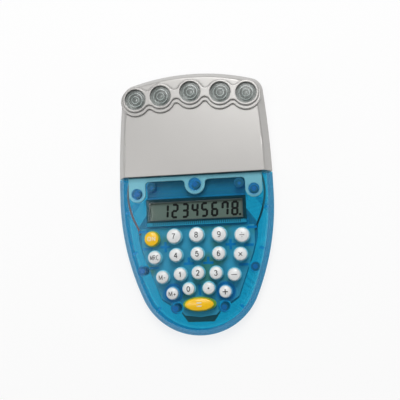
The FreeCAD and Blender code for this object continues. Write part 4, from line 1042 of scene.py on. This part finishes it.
@dataclass
class LampRings:
    """Fine moulded rings round the middle of each lamp's lens."""

    finishes: Finishes
    radii: tuple[float, ...] = (1.75 * MM, 3.3 * MM)
    wide: float = 0.26 * MM
    tall: float = 0.12 * MM
    steps: int = 48
    smooth_angle: float = 40.0
    spots: tuple[tuple[float, float], ...] = ((0.0, 52.8), (-14.45, 51.65), (14.45, 51.65), (-26.8, 50.6),
                                              (26.8, 50.6))

    def build(self) -> None:
        """Models the rings of one lamp and copies them to the others."""
        pattern = self.ring()
        for number, (x, y) in enumerate(self.spots, start=1):
            rings = shown("lens_rings_%d" % number, pattern.data.copy())
            lay_on(rings, "lens_plate", x * MM, y * MM)
            dress(rings, self.finishes.material(Ink.RING.value))
            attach(rings, "case")
            log.info("rings %s", rings.name)
        bpy.data.objects.remove(pattern)

    def ring(self) -> Object:
        """Spins the rings' section round the lamp's axis.

        Returns:
            The rings, round the origin.
        """
        clear_selection()
        bpy.ops.mesh.primitive_plane_add(size=1.0)
        piece = bpy.context.object
        bpy.ops.object.mode_set(mode="EDIT")
        bpy.ops.transform.rotate(value=math.pi / 2, orient_axis="X", center_override=(0.0, 0.0, 0.0))
        bpy.ops.transform.resize(value=(self.wide, 1.0, self.tall))
        bpy.ops.transform.translate(value=(self.radii[0], 0.0, 0.0))
        for near, far in zip(self.radii, self.radii[1:]):
            bpy.ops.mesh.duplicate_move(TRANSFORM_OT_translate={"value": (far - near, 0.0, 0.0)})
        bpy.ops.mesh.select_all(action="SELECT")
        bpy.ops.mesh.delete(type="ONLY_FACE")
        bpy.ops.mesh.select_all(action="SELECT")
        bpy.ops.mesh.spin(steps=self.steps, angle=2.0 * math.pi, center=(0.0, 0.0, 0.0), axis=(0.0, 0.0, 1.0))
        face_outwards()
        bpy.ops.object.shade_smooth_by_angle(angle=math.radians(self.smooth_angle))
        return piece


@dataclass
class DisplayContacts:
    """Row of fine contact lines along the display's lower edge."""

    finishes: Finishes
    count: int = 43
    pitch: float = 1.0 * MM
    wide: float = 0.42 * MM
    long: float = 1.3 * MM
    tall: float = 0.05 * MM
    middle_y: float = -9.85 * MM
    chamfer: float = 0.05 * MM / 3

    def build(self) -> None:
        """Models one line with chamfered edges, copies it along the display and joins the copies."""
        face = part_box("lcd_panel")[1][2]
        clear_selection()
        bpy.ops.mesh.primitive_cube_add(size=1.0)
        pattern = bpy.context.object
        bpy.ops.object.mode_set(mode="EDIT")
        bpy.ops.transform.resize(value=(self.wide, self.long, self.tall))
        bpy.ops.mesh.bevel(offset=self.chamfer, segments=1, affect="EDGES")
        bpy.ops.object.mode_set(mode="OBJECT")
        lines = []
        for number in range(self.count):
            x = (number - (self.count - 1) / 2) * self.pitch
            lines.append(copied(pattern, Matrix.Translation((x, self.middle_y, face + self.tall / 2))))
        bpy.data.objects.remove(pattern)
        contacts = joined("display_contacts", lines)
        dress(contacts, self.finishes.material(Ink.CONTACT.value))
        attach(contacts, "case")
        log.info("display contacts, %d lines", self.count)


@dataclass
class DisplayLiner:
    """Thin dark frame between the display and its window."""

    finishes: Finishes
    half_x: float = 22.4 * MM
    low_y: float = -8.35 * MM
    high_y: float = 0.45 * MM
    low_z: float = 8.86 * MM
    high_z: float = 10.3 * MM
    wall: float = 0.28 * MM

    def build(self) -> None:
        """Models the frame from one plate: inset, opened and thickened."""
        clear_selection()
        middle_y = (self.low_y + self.high_y) / 2
        rise = (0.0, 0.0, self.high_z - self.low_z)
        bpy.ops.mesh.primitive_plane_add(size=1.0)
        liner = bpy.context.object
        liner.name = "display_liner"
        bpy.ops.object.mode_set(mode="EDIT")
        bpy.ops.transform.resize(value=(2.0 * self.half_x, self.high_y - self.low_y, 1.0))
        bpy.ops.transform.translate(value=(0.0, middle_y, self.low_z))
        bpy.ops.mesh.inset(thickness=self.wall)
        bpy.ops.mesh.delete(type="FACE")
        bpy.ops.mesh.select_all(action="SELECT")
        bpy.ops.mesh.extrude_region_move(TRANSFORM_OT_translate={"value": rise})
        face_outwards()
        dress(liner, self.finishes.material(Ink.LINER.value))
        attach(liner, "case")
        log.info("display liner")


@dataclass
class Wires:
    """Battery wires that run from the head down to the board."""

    finishes: Finishes
    radius: float = 0.5 * MM
    length: float = 41.0 * MM
    roundness: int = 4
    steps: int = 12
    order: int = 3
    route: tuple[Point, ...] = ((27.1, 24.5, 8.3), (29.0, 19.0, 8.1), (32.5, 11.5, 7.0), (33.6, 3.0, 7.0),
                                (31.5, -6.0, 6.8), (28.9, -11.5, 5.7), (28.1, -14.5, 5.7))

    def build(self) -> None:
        """Lays the red wire on the left and the black wire on the right."""
        for node, side, slot in (("red_wire", -1.0, Slot.WIRE_RED), ("black_wire", 1.0, Slot.WIRE_BLACK)):
            wire = self.lay(node + "_lead", side)
            dress(wire, self.finishes.material(slot.value))
            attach(wire, "case")
            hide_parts(node)
            x, y, z = self.route[0]
            log.info("wire %s", wire.name)

    def lay(self, name: str, side: float) -> Object:
        """Lays one wire as a smooth spline along its route.

        Args:
            name: The wire's name.
            side: Minus one for the left, one for the right.

        Returns:
            The wire's curve object.
        """
        curve = tube(name, self.radius, self.roundness)
        curve.resolution_u = self.steps
        spline = run(curve, "NURBS", [(side * x * MM, y * MM, z * MM) for x, y, z in self.route])
        spline.order_u = self.order
        spline.use_endpoint_u = True
        return shown(name, curve)


@dataclass(frozen=True)
class Lamp:
    """A soft square lamp that faces the object."""

    name: str
    place: Point
    side: float
    power: float

    def hang(self) -> None:
        """Hangs the lamp."""
        data = bpy.data.lights.new(self.name, "AREA")
        data.size = self.side
        data.energy = self.power
        lamp = shown(self.name, data)
        lamp.location = self.place
        lamp.rotation_euler = (-Vector(self.place)).to_track_quat("-Z", "Y").to_euler()


@dataclass
class Studio:
    """Camera, floor, soft lamps and sky."""

    camera_place: Point = (0.0345, -0.0279, 0.3184)
    camera_turn: tuple[float, float, float] = (5.29, 5.94, -3.02)
    lens: float = 58.6
    sensor: float = 36.0
    nearest: float = 0.01
    sky_top: float = 0.12
    sky_edge: float = 0.32
    floor_side: float = 3.0
    floor_glow: float = 0.8
    floor_tone: Colour = (0.97, 0.97, 0.97)
    floor_rough: float = 0.9
    lamps: tuple[Lamp, ...] = (Lamp("top_softbox", (0.05, 0.45, 0.62), 0.35, 3.3),
                               Lamp("left_high_softbox", (-0.30, 0.0, 0.85), 0.25, 0.9),
                               Lamp("right_high_softbox", (0.15, 0.28, 0.85), 0.30, 0.7),
                               Lamp("right_fill", (0.50, -0.05, 0.36), 0.15, 0.35),
                               Lamp("left_low_softbox", (-0.36, -0.02, 0.12), 0.20, 0.2))

    def build(self) -> None:
        """Sets up the whole studio."""
        scene = bpy.context.scene
        scene.view_settings.view_transform = "Standard"
        self.camera(scene)
        self.world(scene)
        self.floor()
        for lamp in self.lamps:
            lamp.hang()

    def camera(self, scene: Scene) -> None:
        """Places the camera.

        Args:
            scene: The scene that looks through it.
        """
        data = bpy.data.cameras.new("camera")
        data.lens = self.lens
        data.sensor_width = self.sensor
        data.clip_start = self.nearest
        eye = shown("camera", data)
        eye.location = self.camera_place
        eye.rotation_mode = "ZYX"
        eye.rotation_euler = [math.radians(turn) for turn in self.camera_turn]
        scene.camera = eye

    def world(self, scene: Scene) -> None:
        """Gives the sky a plain soft light, dimmer overhead, and white where the camera sees it.

        Args:
            scene: The scene to light.
        """
        world = bpy.data.worlds.new("sky")
        world.use_nodes = True
        scene.world = world
        bench = Bench(world.node_tree)
        back = world.node_tree.nodes["Background"]
        way = bench.add("SeparateXYZ", Vector=bench.add("TexCoord").outputs["Generated"])
        height = bench.math("MAXIMUM", way.outputs["Z"], 0.0)
        level = bench.math("ADD", bench.math("MULTIPLY", height, self.sky_top - self.sky_edge), self.sky_edge)
        seen = bench.add("LightPath").outputs["Is Camera Ray"]
        bench.join(bench.math("MAXIMUM", level, seen), back.inputs["Strength"])
        back.inputs["Color"].default_value = rgba(WHITE)

    def floor(self) -> None:
        """Lays a pale floor that keeps the shadow and is clear from below, to show the back."""
        clear_selection()
        bpy.ops.mesh.primitive_plane_add(size=self.floor_side)
        floor = bpy.context.object
        floor.name = "floor"
        material = bpy.data.materials.new("pale_floor")
        material.use_nodes = True
        bench = Bench(material.node_tree)
        shader = material.node_tree.nodes["Principled BSDF"]
        shader.inputs["Base Color"].default_value = rgba(self.floor_tone)
        shader.inputs["Roughness"].default_value = self.floor_rough
        path = bench.add("LightPath").outputs
        seen = bench.math("MAXIMUM", path["Is Camera Ray"], path["Is Glossy Ray"])
        seen = bench.math("MAXIMUM", seen, path["Is Transmission Ray"])
        glow = bench.add("Emission", Color=WHITE, Strength=1.0)
        lit = bench.blend(bench.math("MULTIPLY", seen, self.floor_glow), shader, glow)
        from_below = bench.add("NewGeometry").outputs["Backfacing"]
        skin = bench.blend(from_below, lit, bench.add("BsdfTransparent"))
        bench.join(skin.outputs[0], material.node_tree.nodes["Material Output"].inputs["Surface"])
        dress(floor, material)


def main() -> None:
    """Builds and dresses the whole scene."""
    Groups.build()
    finishes = Finishes()
    finishes.dress_nodes()
    Wires(finishes).build()
    Legends(finishes).build()
    DisplayFigures(finishes).build()
    DisplayLiner(finishes).build()
    DisplayContacts(finishes).build()
    LampRings(finishes).build()
    Studio().build()
    bpy.context.view_layer.update()


if __name__ == "__main__":
    main()
